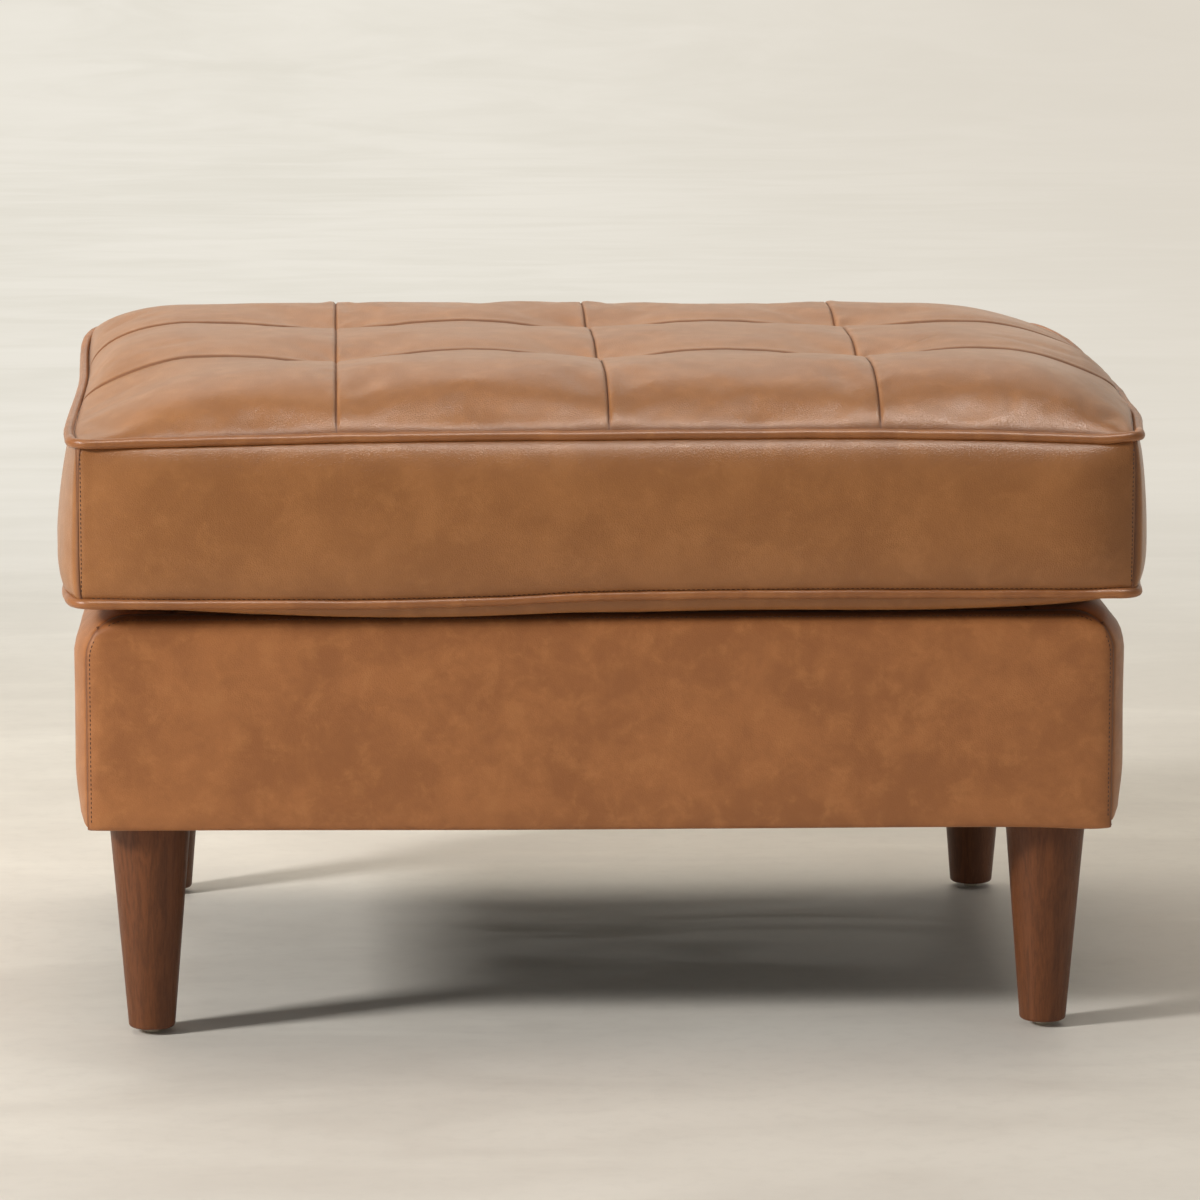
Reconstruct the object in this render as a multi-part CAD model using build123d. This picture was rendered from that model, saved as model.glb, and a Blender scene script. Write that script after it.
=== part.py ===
# Tufted leather ottoman: a loose, piped box cushion on a leather-covered base box with four turned legs.
# Millimetres. X runs along the long side, Y goes from front to back and Z goes up.
# The origin is on the floor, under the middle of the cushion.

import os
from math import sqrt

from build123d import *

os.makedirs("parts", exist_ok=True)

# Shared thicknesses and clearances
leather = 2.0              # lined upholstery leather
fit_gap = 0.3              # air between soft pieces that lie against each other
slip_gap = 0.1             # air between small pieces that are pushed together
overrun = 5.0              # how far a cutter runs past what it cuts

# Legs and glides
glide_height = 4.0
glide_top_radius = 7.0
glide_foot_radius = 4.5
glide_nail_radius = 1.2
glide_nail_length = 14.0
leg_height = 145.5
leg_top_radius = 28.0
leg_foot_radius = 16.2
leg_foot_round = 2.5
leg_top_round = 1.0
leg_inset_x = 41.5         # from the base's side face to the leg's axis
leg_inset_y = 40.0         # from the base's front or rear face to the leg's axis

# Base box
base_width = 705.0
base_depth = 548.0
base_height = 149.5
base_corner_radius = 30.0  # rounded top corners of the front and rear faces
base_shift = 4.5           # the loose cushion lies this far to the right of the base
base_wrap = 60.0           # how far the leather runs in over the deck
base_hem = 30.0            # how far the leather is turned in underneath
dust_cover_thickness = 0.5
dust_cover_inset = 12.0
padding = 4.0              # foam between the frame and the leather
rail_thickness = 18.0
deck_cloth_thickness = 1.0
deck_foam_thickness = 22.0
spring_cover_thickness = 1.0
slat_height = 60.0
block_side = 62.0
block_cut = 26.0           # what is left of the block's sides beyond its slanted face
block_height = 45.0

# Zigzag springs and their clips
spring_wire_radius = 1.9
spring_count = 4
spring_half_width = 24.0
spring_turns = 20
clip_thickness = 0.8
clip_width = 12.0
clip_depth = 14.0

# Leg fixings
bolt_radius = 4.0
bolt_depth_in_leg = 32.0
bolt_stand = 3.0           # bolt end beyond the nut's flange
bolt_hole_gap = 0.5
nut_barrel_radius = 5.2
nut_barrel_length = 14.0
nut_flange_radius = 8.0
nut_flange_thickness = 1.5

# Staples of the dust cover
staple_crown = 10.0
staple_wire = 0.8
staple_leg = 7.0
front_staple_count = 7
side_staple_count = 5

# Cushion
cushion_width = 720.0      # from corner seam to corner seam
cushion_depth = 565.0
boxing_height = 108.0      # between the centres of the two welts
front_bulge = 14.0
side_bulge = 20.0
rear_bulge = 8.0
belly_drop = 12.7          # how far the underside sags below the bottom welt
belly_inset_x = 100.0
belly_inset_y = 32.0
belly_corner = 40.0
piping_radius = 3.5
piping_cord_radius = 2.0
piping_stand = 1.5         # how far the welt's centre stands out of the boxing
piping_corner = 11.0
piping_flange = 5.0        # how far the welt's flange reaches in from the boxing's face
piping_flange_thickness = 1.5
foam_inset = 7.0           # from the boxing's outer face to the foam block

# Tufted crown, as heights above the top welt's flange
column_pitch = 185.0       # between front-to-back seams
row_pitch = 186.0          # between the two cross seams
rim_rise = 3.2
tuft_rise = 29.0
column_seam_rise = 40.0
cross_seam_rise = 37.0
crest_rise = 41.0
pillow_rise = 1.5
edge_roll = 80.0           # width over which the crown rolls up from the welt
seam_roll = 60.0           # width over which the crown falls to a seam
twine_radius = 1.2
anchor_radius = 12.0
anchor_thickness = 2.0

# Zip along the rear boxing
zip_slot = 14.0            # height of the slot between the two halves of the rear boxing
zip_end_margin = 60.0      # from each corner seam to the end of the straight stretch
zip_lap = 7.0              # how far each tape laps behind the boxing
zip_tape_thickness = 0.8
zip_split = 1.4            # between the two tapes
zip_teeth_height = 2.5
zip_teeth_thickness = 1.6
zip_stop_length = 4.0
zip_level_band = 11.0      # height over which the boxing stays upright beside the slot
slider_length = 12.0
slider_height = 9.0
slider_plate = 1.3
slider_web_length = 6.0
slider_web = 0.8
slider_lug = 1.0
slider_lug_length = 3.0
slider_pin_radius = 0.6
pull_length = 24.0
pull_width = 5.0
pull_thickness = 1.2
pull_eye_radius = 1.5
pull_hole_gap = 0.2

# Shares of the form that they scale
level_shares = (0.0, 0.2, 0.5, 0.8, 1.0)
bulge_shares = (0.03, 0.66, 1.0, 0.66, 0.03)
outer_row_shares = (0.0, 0.015, 0.04, 0.08, 0.14, 0.22, 0.32, 0.5, 0.7, 0.85, 1.0)
middle_row_shares = (0.17, 0.33, 0.5, 0.67, 0.83)
edge_arc_share = 0.3
edge_arc_height_share = 0.714
end_panel_share = 0.15

# Levels, from the floor up
leg_top = glide_height + leg_height
base_bottom = leg_top + dust_cover_thickness
base_top = base_bottom + base_height
hem_top = base_bottom + leather
deck_foam_top = base_top - leather
deck_foam_bottom = deck_foam_top - deck_foam_thickness
clip_height = 2 * (clip_thickness + spring_wire_radius)
rail_top = deck_foam_bottom - spring_cover_thickness - clip_height
belly_bottom = base_top + fit_gap
lower_welt = belly_bottom + belly_drop
upper_welt = lower_welt + boxing_height
welt_mid = (lower_welt + upper_welt) / 2
crown_floor = upper_welt + piping_flange_thickness / 2
belly_ceiling = lower_welt - piping_flange_thickness / 2

# Half sizes in plan
base_half_x = base_width / 2
base_half_y = base_depth / 2
frame_half_x = base_half_x - leather - padding
frame_half_y = base_half_y - leather - padding
inner_half_x = frame_half_x - rail_thickness
inner_half_y = frame_half_y - rail_thickness
leg_x = base_half_x - leg_inset_x
leg_y = base_half_y - leg_inset_y
cushion_half_x = cushion_width / 2
cushion_half_y = cushion_depth / 2
zip_flat_half = cushion_half_x - zip_end_margin
rim_inset = piping_radius - piping_stand + fit_gap
rim_half_x = cushion_half_x - rim_inset
rim_half_y = cushion_half_y - rim_inset
rim_corner = piping_corner - piping_radius - fit_gap

corner_signs = [("front_left", -1, -1), ("front_right", 1, -1), ("rear_left", -1, 1), ("rear_right", 1, 1)]
tuft_places = [(column * column_pitch, row * row_pitch / 2) for column in (-1, 0, 1) for row in (-1, 1)]


def save(name, shape):
    """Writes one sub-part to its own file."""
    export_step(shape, f"parts/{name}.step")


def save_base(name, shape):
    """Writes a sub-part of the base, which stands a little to the left of the cushion."""
    save(name, Pos(-base_shift, 0, 0) * shape)


def block(x0, x1, y0, y1, z0, z1):
    """A box between two corners."""
    middle = Pos((x0 + x1) / 2, (y0 + y1) / 2, (z0 + z1) / 2)
    return middle * Box(abs(x1 - x0), abs(y1 - y0), abs(z1 - z0))


def rod(x, y, z0, z1, radius):
    """An upright cylinder."""
    return Pos(x, y, (z0 + z1) / 2) * Cylinder(radius, abs(z1 - z0))


def arc(start, middle, end):
    return ThreePointArc(start, middle, end)


def closed_face(edges):
    return Face(Wire(edges))


def group(pieces):
    """Separate solids that share one sub-part."""
    return Compound([solid for piece in pieces for solid in piece.solids()])


# Legs


def leg_profile():
    """Half section of a turned leg, from its axis out, with a rounded foot and an eased top edge."""
    foot = glide_height
    foot_corner = (leg_foot_radius - leg_foot_round, foot)
    foot_side = (leg_foot_radius, foot + leg_foot_round)
    round_share = 1 - sqrt(0.5)
    foot_middle = (leg_foot_radius - leg_foot_round * round_share, foot + leg_foot_round * round_share)
    return closed_face([
        Line((0, foot), foot_corner),
        arc(foot_corner, foot_middle, foot_side),
        Line(foot_side, (leg_top_radius, leg_top - leg_top_round)),
        Line((leg_top_radius, leg_top - leg_top_round), (leg_top_radius - leg_top_round, leg_top)),
        Line((leg_top_radius - leg_top_round, leg_top), (0, leg_top)),
        Line((0, leg_top), (0, foot)),
    ])


def make_legs():
    turned = revolve(Rot(90, 0, 0) * leg_profile(), Axis.Z)
    turned -= rod(0, 0, leg_top - bolt_depth_in_leg, leg_top + overrun, bolt_radius + slip_gap)
    nail_top = glide_height + glide_nail_length
    turned -= rod(0, 0, glide_height - overrun, nail_top, glide_nail_radius + slip_gap)
    glide = Pos(0, 0, glide_height / 2) * Cone(glide_foot_radius, glide_top_radius, glide_height)
    glide += rod(0, 0, glide_height / 2, nail_top - slip_gap, glide_nail_radius)
    for place, sign_x, sign_y in corner_signs:
        at_leg = Pos(sign_x * leg_x, sign_y * leg_y, 0)
        save_base(f"leg_{place}", at_leg * turned)
        save_base(f"glide_{place}", at_leg * glide)


# Frame and springs


def make_frame():
    front = block(-frame_half_x, frame_half_x, -frame_half_y, -inner_half_y, hem_top, rail_top)
    left = block(-frame_half_x, -inner_half_x, -inner_half_y, inner_half_y, hem_top, rail_top)
    save_base("front_rail", front)
    save_base("rear_rail", mirror(front, Plane.XZ))
    save_base("left_rail", left)
    save_base("right_rail", mirror(left, Plane.YZ))
    slat_half = rail_thickness / 2
    save_base("centre_slat", block(-slat_half, slat_half, -inner_half_y, inner_half_y,
                                   hem_top, hem_top + slat_height))


def corner_block():
    """One block in the front left corner, with its bolt hole and the nut's counterbore."""
    x0, y0 = -inner_half_x, -inner_half_y
    outline = closed_face(Polyline(
        (x0, y0), (x0 + block_side, y0), (x0 + block_side, y0 + block_cut),
        (x0 + block_cut, y0 + block_side), (x0, y0 + block_side), close=True).edges())
    shape = Pos(0, 0, hem_top) * extrude(outline, block_height)
    top = hem_top + block_height
    shape -= rod(-leg_x, -leg_y, hem_top - overrun, top + overrun, bolt_radius + bolt_hole_gap)
    shape -= rod(-leg_x, -leg_y, top - nut_barrel_length, top + overrun, nut_barrel_radius + slip_gap)
    return shape


def make_corner_fixings():
    block_top = hem_top + block_height
    wood = corner_block()
    nut = rod(-leg_x, -leg_y, block_top - nut_barrel_length + slip_gap, block_top, nut_barrel_radius)
    nut += rod(-leg_x, -leg_y, block_top, block_top + nut_flange_thickness, nut_flange_radius)
    nut -= rod(-leg_x, -leg_y, base_bottom, block_top + overrun, bolt_radius + slip_gap)
    bolt = rod(-leg_x, -leg_y, leg_top - bolt_depth_in_leg + slip_gap,
               block_top + nut_flange_thickness + bolt_stand, bolt_radius)
    for name, shape in (("corner_blocks", wood), ("t_nuts", nut), ("hanger_bolts", bolt)):
        left_pair = [shape, mirror(shape, Plane.XZ)]
        right_pair = [mirror(piece, Plane.YZ) for piece in left_pair]
        save_base(name, group(left_pair + right_pair))


def zigzag_spring():
    """One zigzag spring that runs from the front rail to the rear rail, centred on x = 0."""
    reach = frame_half_y - rail_thickness / 2
    pitch = 2 * reach / spring_turns
    turn_radius = pitch / 2
    bar_end = spring_half_width - turn_radius
    level = rail_top + clip_height / 2
    edges = []
    for turn in range(spring_turns + 1):
        y = -reach + turn * pitch
        side = 1 if turn % 2 == 0 else -1
        start, end = (-side * bar_end, y), (side * bar_end, y)
        edges.append(Line(start, end))
        if turn < spring_turns:
            outermost = (side * (bar_end + turn_radius), y + turn_radius)
            edges.append(arc(end, outermost, (side * bar_end, y + pitch)))
    path = Pos(0, 0, level) * Wire(edges)
    section = Pos(-bar_end, -reach, level) * Rot(0, 90, 0) * Circle(spring_wire_radius)
    return sweep(section, path=path)


def make_springs():
    spring = zigzag_spring()
    spacing = 2 * inner_half_x / (spring_count + 1)
    places = [(index - (spring_count - 1) / 2) * spacing for index in range(spring_count)]
    save_base("sinuous_springs", group([Pos(x, 0, 0) * spring for x in places]))

    reach = frame_half_y - rail_thickness / 2
    y0 = -reach - clip_depth / 2 + spring_wire_radius
    clip = block(-clip_width / 2, clip_width / 2, y0, y0 + clip_depth / 2, rail_top, rail_top + clip_height)
    room = spring_wire_radius + slip_gap
    level = rail_top + clip_height / 2
    clip -= block(-clip_width, clip_width, y0 + clip_thickness, y0 + clip_depth, level - room, level + room)
    front = [Pos(x, 0, 0) * clip for x in places]
    rear = [mirror(piece, Plane.XZ) for piece in front]
    save_base("spring_clips", group(front + rear))
    save_base("spring_cover", block(-frame_half_x, frame_half_x, -frame_half_y, frame_half_y,
                                    deck_foam_bottom - spring_cover_thickness, deck_foam_bottom))


# Base upholstery


def base_face(inset):
    """The front face's outline in X and Z: square at the bottom, rounded at the two top corners."""
    half = base_half_x - inset
    low = base_bottom + inset
    high = base_top - inset
    radius = base_corner_radius - inset
    eased = radius * (1 - sqrt(0.5))
    flat = closed_face([
        Line((-half, low), (half, low)),
        Line((half, low), (half, high - radius)),
        arc((half, high - radius), (half - eased, high - eased), (half - radius, high)),
        Line((half - radius, high), (radius - half, high)),
        arc((radius - half, high), (eased - half, high - eased), (-half, high - radius)),
        Line((-half, high - radius), (-half, low)),
    ])
    return Rot(90, 0, 0) * flat


def base_prism(inset, y0, y1):
    """The base's outline, drawn in by an inset and run from y0 to y1."""
    return Pos(0, y0, 0) * extrude(base_face(inset), y1 - y0, dir=(0, 1, 0))


def make_base_cover():
    inner_y = base_half_y - leather
    front = base_prism(0, -base_half_y, -inner_y)
    front += block(base_hem - base_half_x, base_half_x - base_hem,
                   -inner_y, base_hem - base_half_y, base_bottom, hem_top)
    save_base("front_panel", front)
    save_base("rear_panel", mirror(front, Plane.XZ))

    ring = base_prism(0, -inner_y, inner_y) - base_prism(leather, -inner_y - overrun, inner_y + overrun)
    left = ring & block(-base_half_x - overrun, base_wrap - base_half_x, -base_half_y, base_half_y,
                        base_bottom - overrun, base_top + overrun)
    left -= block(base_hem - base_half_x, base_wrap - base_half_x + overrun, -base_half_y, base_half_y,
                  base_bottom - overrun, hem_top + overrun)
    save_base("left_panel", left)
    save_base("right_panel", mirror(left, Plane.YZ))

    deck_half_x = base_half_x - base_wrap
    strip_end = base_half_y - base_wrap
    front_strip = block(-deck_half_x, deck_half_x, -inner_y, -strip_end, deck_foam_top, base_top)
    strips = [front_strip, mirror(front_strip, Plane.XZ)]
    save_base("deck_strips", group(strips))
    save_base("deck_cloth", block(-deck_half_x, deck_half_x, -strip_end, strip_end,
                                  deck_foam_top, deck_foam_top + deck_cloth_thickness))

    foam_half_y = inner_y - fit_gap
    foam = base_prism(leather, -foam_half_y, foam_half_y)
    foam &= block(-base_half_x, base_half_x, -base_half_y, base_half_y,
                  deck_foam_bottom, base_top + overrun)
    save_base("deck_foam", foam)

    outer_x = base_half_x - leather
    long_pad = block(-outer_x, outer_x, -inner_y, -frame_half_y, hem_top, deck_foam_bottom)
    short_pad = block(-outer_x, -frame_half_x, -frame_half_y, frame_half_y, hem_top, deck_foam_bottom)
    long_pad &= base_prism(leather, -inner_y, inner_y)
    short_pad &= base_prism(leather, -inner_y, inner_y)
    pads = [long_pad, mirror(long_pad, Plane.XZ), short_pad, mirror(short_pad, Plane.YZ)]
    save_base("rail_padding", group(pads))


def staple():
    """One staple, crown down, centred on the origin at the crown's underside."""
    shape = block(-staple_crown / 2, staple_crown / 2, -staple_wire / 2, staple_wire / 2, 0, staple_wire)
    for side in (-1, 1):
        inner = side * (staple_crown / 2 - staple_wire)
        shape += block(inner, side * staple_crown / 2, -staple_wire / 2, staple_wire / 2, 0, staple_leg)
    return shape


def make_dust_cover():
    half_x = base_half_x - dust_cover_inset
    half_y = base_half_y - dust_cover_inset
    cloth = block(-half_x, half_x, -half_y, half_y, leg_top, base_bottom)
    for _, sign_x, sign_y in corner_signs:
        cloth -= rod(sign_x * leg_x, sign_y * leg_y, leg_top - overrun, base_bottom + overrun,
                     bolt_radius + bolt_hole_gap)
    save_base("dust_cover", cloth)

    rail_x = frame_half_x - rail_thickness / 2
    rail_y = frame_half_y - rail_thickness / 2
    staple_level = leg_top - staple_wire
    front_pitch = 2 * leg_x / (front_staple_count + 1)
    side_pitch = 2 * leg_y / (side_staple_count + 1)
    staples = []
    for side in (-1, 1):
        for index in range(front_staple_count):
            x = -leg_x + (index + 1) * front_pitch
            staples.append(Pos(x, side * rail_y, staple_level) * staple())
        for index in range(side_staple_count):
            y = -leg_y + (index + 1) * side_pitch
            staples.append(Pos(side * rail_x, y, staple_level) * Rot(0, 0, 90) * staple())
    save_base("dust_cover_staples", group(staples))


# Cushion: boxing, welts and underside


def rounded_outline(half_x, half_y, radius, level):
    return Pos(0, 0, level) * RectangleRounded(2 * half_x, 2 * half_y, radius)


def wall_outline(half, offset, bulge, thickness, level):
    """Plan of a boxing panel along X at y = -offset, bulged towards -Y, with mitred ends."""
    outer_left, outer_right = (-half, -offset), (half, -offset)
    inner_left, inner_right = (thickness - half, thickness - offset), (half - thickness, thickness - offset)
    return Pos(0, 0, level) * closed_face([
        arc(outer_left, (0, -offset - bulge), outer_right),
        Line(outer_right, inner_right),
        arc(inner_right, (0, thickness - offset - bulge), inner_left),
        Line(inner_left, outer_left),
    ])


def boxing_panel(half, offset, bulge):
    """A boxing panel between the two welts, fullest at mid height."""
    low = lower_welt + piping_radius + slip_gap
    high = upper_welt - piping_radius - slip_gap
    sections = []
    for level_share, bulge_share in zip(level_shares, bulge_shares):
        level = low + (high - low) * level_share
        sections.append(wall_outline(half, offset, bulge * bulge_share, leather, level))
    return loft(sections)


def flat_wall_outline(half, offset, rise, thickness):
    """Plan of a rear strip at y = offset: straight in the middle, curving in to both corners."""
    flat = zip_flat_half
    out, inn = offset + rise, offset + rise - thickness
    inner_half = half - thickness
    return closed_face([
        TangentArc((-flat, out), (-half, offset), tangent=(-1, 0)),
        Line((-half, offset), (-inner_half, offset - thickness)),
        TangentArc((-flat, inn), (-inner_half, offset - thickness), tangent=(-1, 0)),
        Line((-flat, inn), (flat, inn)),
        TangentArc((flat, inn), (inner_half, offset - thickness), tangent=(1, 0)),
        Line((inner_half, offset - thickness), (half, offset)),
        TangentArc((flat, out), (half, offset), tangent=(1, 0)),
        Line((flat, out), (-flat, out)),
    ])


def make_boxing():
    front = boxing_panel(cushion_half_x, cushion_half_y, front_bulge)
    side = boxing_panel(cushion_half_y, cushion_half_x, side_bulge)
    save("front_boxing", front)
    save("left_boxing", Rot(0, 0, -90) * side)
    save("right_boxing", Rot(0, 0, 90) * side)

    slot_edge = welt_mid + zip_slot / 2
    level_end = slot_edge + zip_level_band
    top = upper_welt - piping_radius - slip_gap
    rises = ((slot_edge, rear_bulge), (level_end, rear_bulge), (top, rear_bulge * bulge_shares[0]))
    sections = [Pos(0, 0, level) * flat_wall_outline(cushion_half_x, cushion_half_y, rise, leather)
                for level, rise in rises]
    upper = loft(sections, ruled=True)
    save("rear_boxing_upper", upper)
    save("rear_boxing_lower", mirror(upper, Plane.XY.offset(welt_mid)))


def make_welts():
    """Both welts: a leather tube with a flat flange, sewn round a filler cord."""
    half_x = cushion_half_x + piping_stand
    half_y = cushion_half_y + piping_stand
    cords = []
    for name, level in (("top_piping", upper_welt), ("bottom_piping", lower_welt)):
        path = rounded_outline(half_x, half_y, piping_corner, level).wire()
        start = Plane(origin=(0, -half_y, level), x_dir=(0, 1, 0), z_dir=(1, 0, 0))
        path = Wire(path.edges())
        flange_end = piping_stand + piping_flange
        flange = Pos(flange_end / 2, 0) * Rectangle(flange_end, piping_flange_thickness)
        skin = sweep(start * (Circle(piping_radius) + flange), path=path)
        skin -= sweep(start * Circle(piping_cord_radius + slip_gap), path=path)
        save(name, skin)
        cords.append(sweep(start * Circle(piping_cord_radius), path=path))
    save("piping_cords", group(cords))


def belly(inset, floor):
    """The sagging underside, drawn in by an inset, from the bottom welt's flange down to a floor."""
    wide = rounded_outline(rim_half_x - inset, rim_half_y - inset, rim_corner, belly_ceiling)
    narrow = rounded_outline(rim_half_x - inset - belly_inset_x, rim_half_y - inset - belly_inset_y,
                             belly_corner, floor)
    return loft([narrow, wide], ruled=True)


def make_bottom_cover():
    save("bottom_cover", belly(0, belly_bottom) - belly(leather, belly_bottom + leather))


# Cushion: tufted top and filling


def roll(share):
    """Height of a quarter round at a share of its width."""
    return sqrt(1 - (1 - min(share, 1)) ** 2)


def row_height(from_edge, from_seam, top, at_seam):
    """Height of a line along Y: it rolls up from the rim and falls again towards a cross seam."""
    rolled = rim_rise + (top - rim_rise) * roll(from_edge / edge_roll)
    fallen = (top - at_seam) * (1 - min(from_seam / seam_roll, 1)) ** 2
    return rolled - fallen


def crown_section(y, from_edge, from_seam, inset, drop, floor):
    """One upright section of the crown: four pillowed panels between the column seams."""
    half = rim_half_x - inset
    rim = crown_floor + rim_rise - drop
    crest = crown_floor + pillow_rise - drop + row_height(from_edge, from_seam, crest_rise, cross_seam_rise)
    valley = crown_floor - drop + row_height(from_edge, from_seam, column_seam_rise, tuft_rise)
    shoulder = half - edge_roll
    edge_x = half - edge_roll * edge_arc_share
    edge_z = rim + (crest - rim) * edge_arc_height_share
    end_x = (shoulder + column_pitch) / 2
    end_z = crest - (crest - valley) * end_panel_share
    flat = closed_face([
        Line((-half, floor), (half, floor)),
        Line((half, floor), (half, rim)),
        arc((half, rim), (edge_x, edge_z), (shoulder, crest)),
        arc((shoulder, crest), (end_x, end_z), (column_pitch, valley)),
        arc((column_pitch, valley), (column_pitch / 2, crest), (0, valley)),
        arc((0, valley), (-column_pitch / 2, crest), (-column_pitch, valley)),
        arc((-column_pitch, valley), (-end_x, end_z), (-shoulder, crest)),
        arc((-shoulder, crest), (-edge_x, edge_z), (-half, rim)),
        Line((-half, rim), (-half, floor)),
    ])
    return Pos(0, y, 0) * Rot(90, 0, 0) * flat


def crown(inset, drop, floor):
    """The tufted crown, drawn in by an inset, lowered by a drop and closed by a flat floor."""
    half_y = rim_half_y - inset
    seam_y = row_pitch / 2
    row = half_y - seam_y
    stations = []
    for share in outer_row_shares:
        stations.append((share * row - half_y, share * row, (1 - share) * row))
    for share in middle_row_shares:
        from_seam = min(share, 1 - share) * row_pitch
        stations.append((share * row_pitch - seam_y, half_y, from_seam))
    for share in reversed(outer_row_shares):
        stations.append((half_y - share * row, share * row, (1 - share) * row))
    shape = loft([crown_section(*station, inset, drop, floor) for station in stations], ruled=True)
    trimmer = extrude(rounded_outline(rim_half_x - inset, rim_half_y - inset, rim_corner - inset / 2, floor),
                      crown_floor + crest_rise + pillow_rise + overrun - floor)
    return shape & trimmer


def make_top_cover():
    inner = crown(leather, leather, crown_floor - overrun)
    save("top_cover", crown(0, 0, crown_floor) - inner)

    wadding = crown(leather + fit_gap, leather + fit_gap, crown_floor)
    for x, y in tuft_places:
        wadding -= rod(x, y, crown_floor - overrun, crown_floor + crest_rise + overrun,
                       twine_radius + fit_gap)
    save("fibre_wadding", wadding)


def foam_outline(level, bulge_share):
    """Plan of the foam block at one level, bulged on all four sides like the boxing round it."""
    half_x = cushion_half_x - foam_inset
    half_y = cushion_half_y - foam_inset
    front = half_y + front_bulge * bulge_share
    rear = half_y + rear_bulge * bulge_share
    side = half_x + side_bulge * bulge_share
    return Pos(0, 0, level) * closed_face([
        arc((-half_x, -half_y), (0, -front), (half_x, -half_y)),
        arc((half_x, -half_y), (side, 0), (half_x, half_y)),
        arc((half_x, half_y), (0, rear), (-half_x, half_y)),
        arc((-half_x, half_y), (-side, 0), (-half_x, -half_y)),
    ])


def make_filling():
    foam_floor = belly_bottom + leather + fit_gap
    height = crown_floor - belly_ceiling
    sections = [foam_outline(belly_ceiling + height * level_share, bulge_share)
                for level_share, bulge_share in zip(level_shares, bulge_shares)]
    foam = loft(sections) + belly(leather + fit_gap, foam_floor)
    twines, anchors = [], []
    anchor_top = foam_floor + anchor_thickness
    twine_top = crown_floor + tuft_rise - leather - fit_gap
    for x, y in tuft_places:
        foam -= rod(x, y, foam_floor - overrun, anchor_top + fit_gap, anchor_radius + fit_gap)
        foam -= rod(x, y, foam_floor, crown_floor + overrun, twine_radius + fit_gap)
        anchors.append(rod(x, y, foam_floor, anchor_top, anchor_radius))
        twines.append(rod(x, y, anchor_top, twine_top, twine_radius))
    save("foam_core", foam)
    save("tuft_anchors", group(anchors))
    save("tuft_twines", group(twines))


# Zip along the rear boxing

tape_out = rear_bulge - leather - slip_gap       # tape's outer face, from the corner seams' plane
tape_face = cushion_half_y + tape_out
teeth_face = tape_face + zip_teeth_thickness
split_half = zip_split / 2


def make_zip():
    tape_half = cushion_half_x - leather - fit_gap
    tape_offset = cushion_half_y - leather - fit_gap
    outline = flat_wall_outline(tape_half, tape_offset, tape_face - tape_offset, zip_tape_thickness)
    tape_height = zip_slot / 2 + zip_lap - split_half
    upper_tape = Pos(0, 0, welt_mid + split_half) * extrude(outline, tape_height)
    teeth_low = welt_mid + split_half
    upper_teeth = block(-zip_flat_half, zip_flat_half, tape_face, teeth_face,
                        teeth_low, teeth_low + zip_teeth_height)
    stop_end = zip_flat_half + zip_stop_length
    stop_half = split_half + zip_teeth_height
    stop_face = teeth_face
    right_stop = block(zip_flat_half, stop_end, tape_face, stop_face,
                       welt_mid - stop_half, welt_mid + stop_half)
    middle = Plane.XY.offset(welt_mid)
    for name, piece, plane in (("zip_tapes", upper_tape, middle), ("zip_teeth", upper_teeth, middle),
                               ("zip_stops", right_stop, Plane.YZ)):
        save(name, group([piece, mirror(piece, plane)]))


slider_x = zip_flat_half - slider_length / 2 - fit_gap
slider_outer = teeth_face + fit_gap
slider_face = slider_outer + slider_plate
pin_y = slider_face + pull_eye_radius + pull_hole_gap
lug_inner = pull_width / 2 + pull_hole_gap


def make_slider():
    tape_back = tape_face - zip_tape_thickness - fit_gap
    x0, x1 = slider_x - slider_length / 2, slider_x + slider_length / 2
    z0, z1 = welt_mid - slider_height / 2, welt_mid + slider_height / 2
    shape = block(x0, x1, slider_outer, slider_face, z0, z1)
    shape += block(x0, x1, tape_back - slider_plate, tape_back, z0, z1)
    web_x0 = slider_x - slider_web_length / 2
    shape += block(web_x0, web_x0 + slider_web_length, tape_back - slider_plate, slider_face,
                   welt_mid - slider_web / 2, welt_mid + slider_web / 2)
    for side in (-1, 1):
        shape += block(slider_x - slider_lug_length / 2, slider_x + slider_lug_length / 2,
                       slider_outer, pin_y + pull_eye_radius,
                       welt_mid + side * lug_inner, welt_mid + side * (lug_inner + slider_lug))
    pin_half = lug_inner + slider_lug / 2
    shape += rod(slider_x, pin_y, welt_mid - pin_half, welt_mid + pin_half, slider_pin_radius)
    save("zip_slider", shape)

    pull = rod(slider_x, pin_y, welt_mid - pull_width / 2, welt_mid + pull_width / 2, pull_eye_radius)
    pull += block(slider_x - pull_length, slider_x, pin_y - pull_thickness / 2, pin_y + pull_thickness / 2,
                  welt_mid - pull_width / 2, welt_mid + pull_width / 2)
    pull -= rod(slider_x, pin_y, welt_mid - pull_width, welt_mid + pull_width,
                slider_pin_radius + pull_hole_gap)
    save("zip_pull", pull)


make_legs()
make_frame()
make_corner_fixings()
make_springs()
make_base_cover()
make_dust_cover()
make_boxing()
make_welts()
make_bottom_cover()
make_top_cover()
make_filling()
make_zip()
make_slider()
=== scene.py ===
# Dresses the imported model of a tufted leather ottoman: leather, seams, welts, cloth, wood and metal.
# Lengths are in millimetres up to the point where a mesh is made, and Blender gets metres.
# X runs to the right, Y to the back and Z up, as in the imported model.

from math import cos, pi, radians, sin, sqrt

import bmesh
import bpy
import numpy as np
from mathutils import Matrix, Vector, noise


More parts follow.
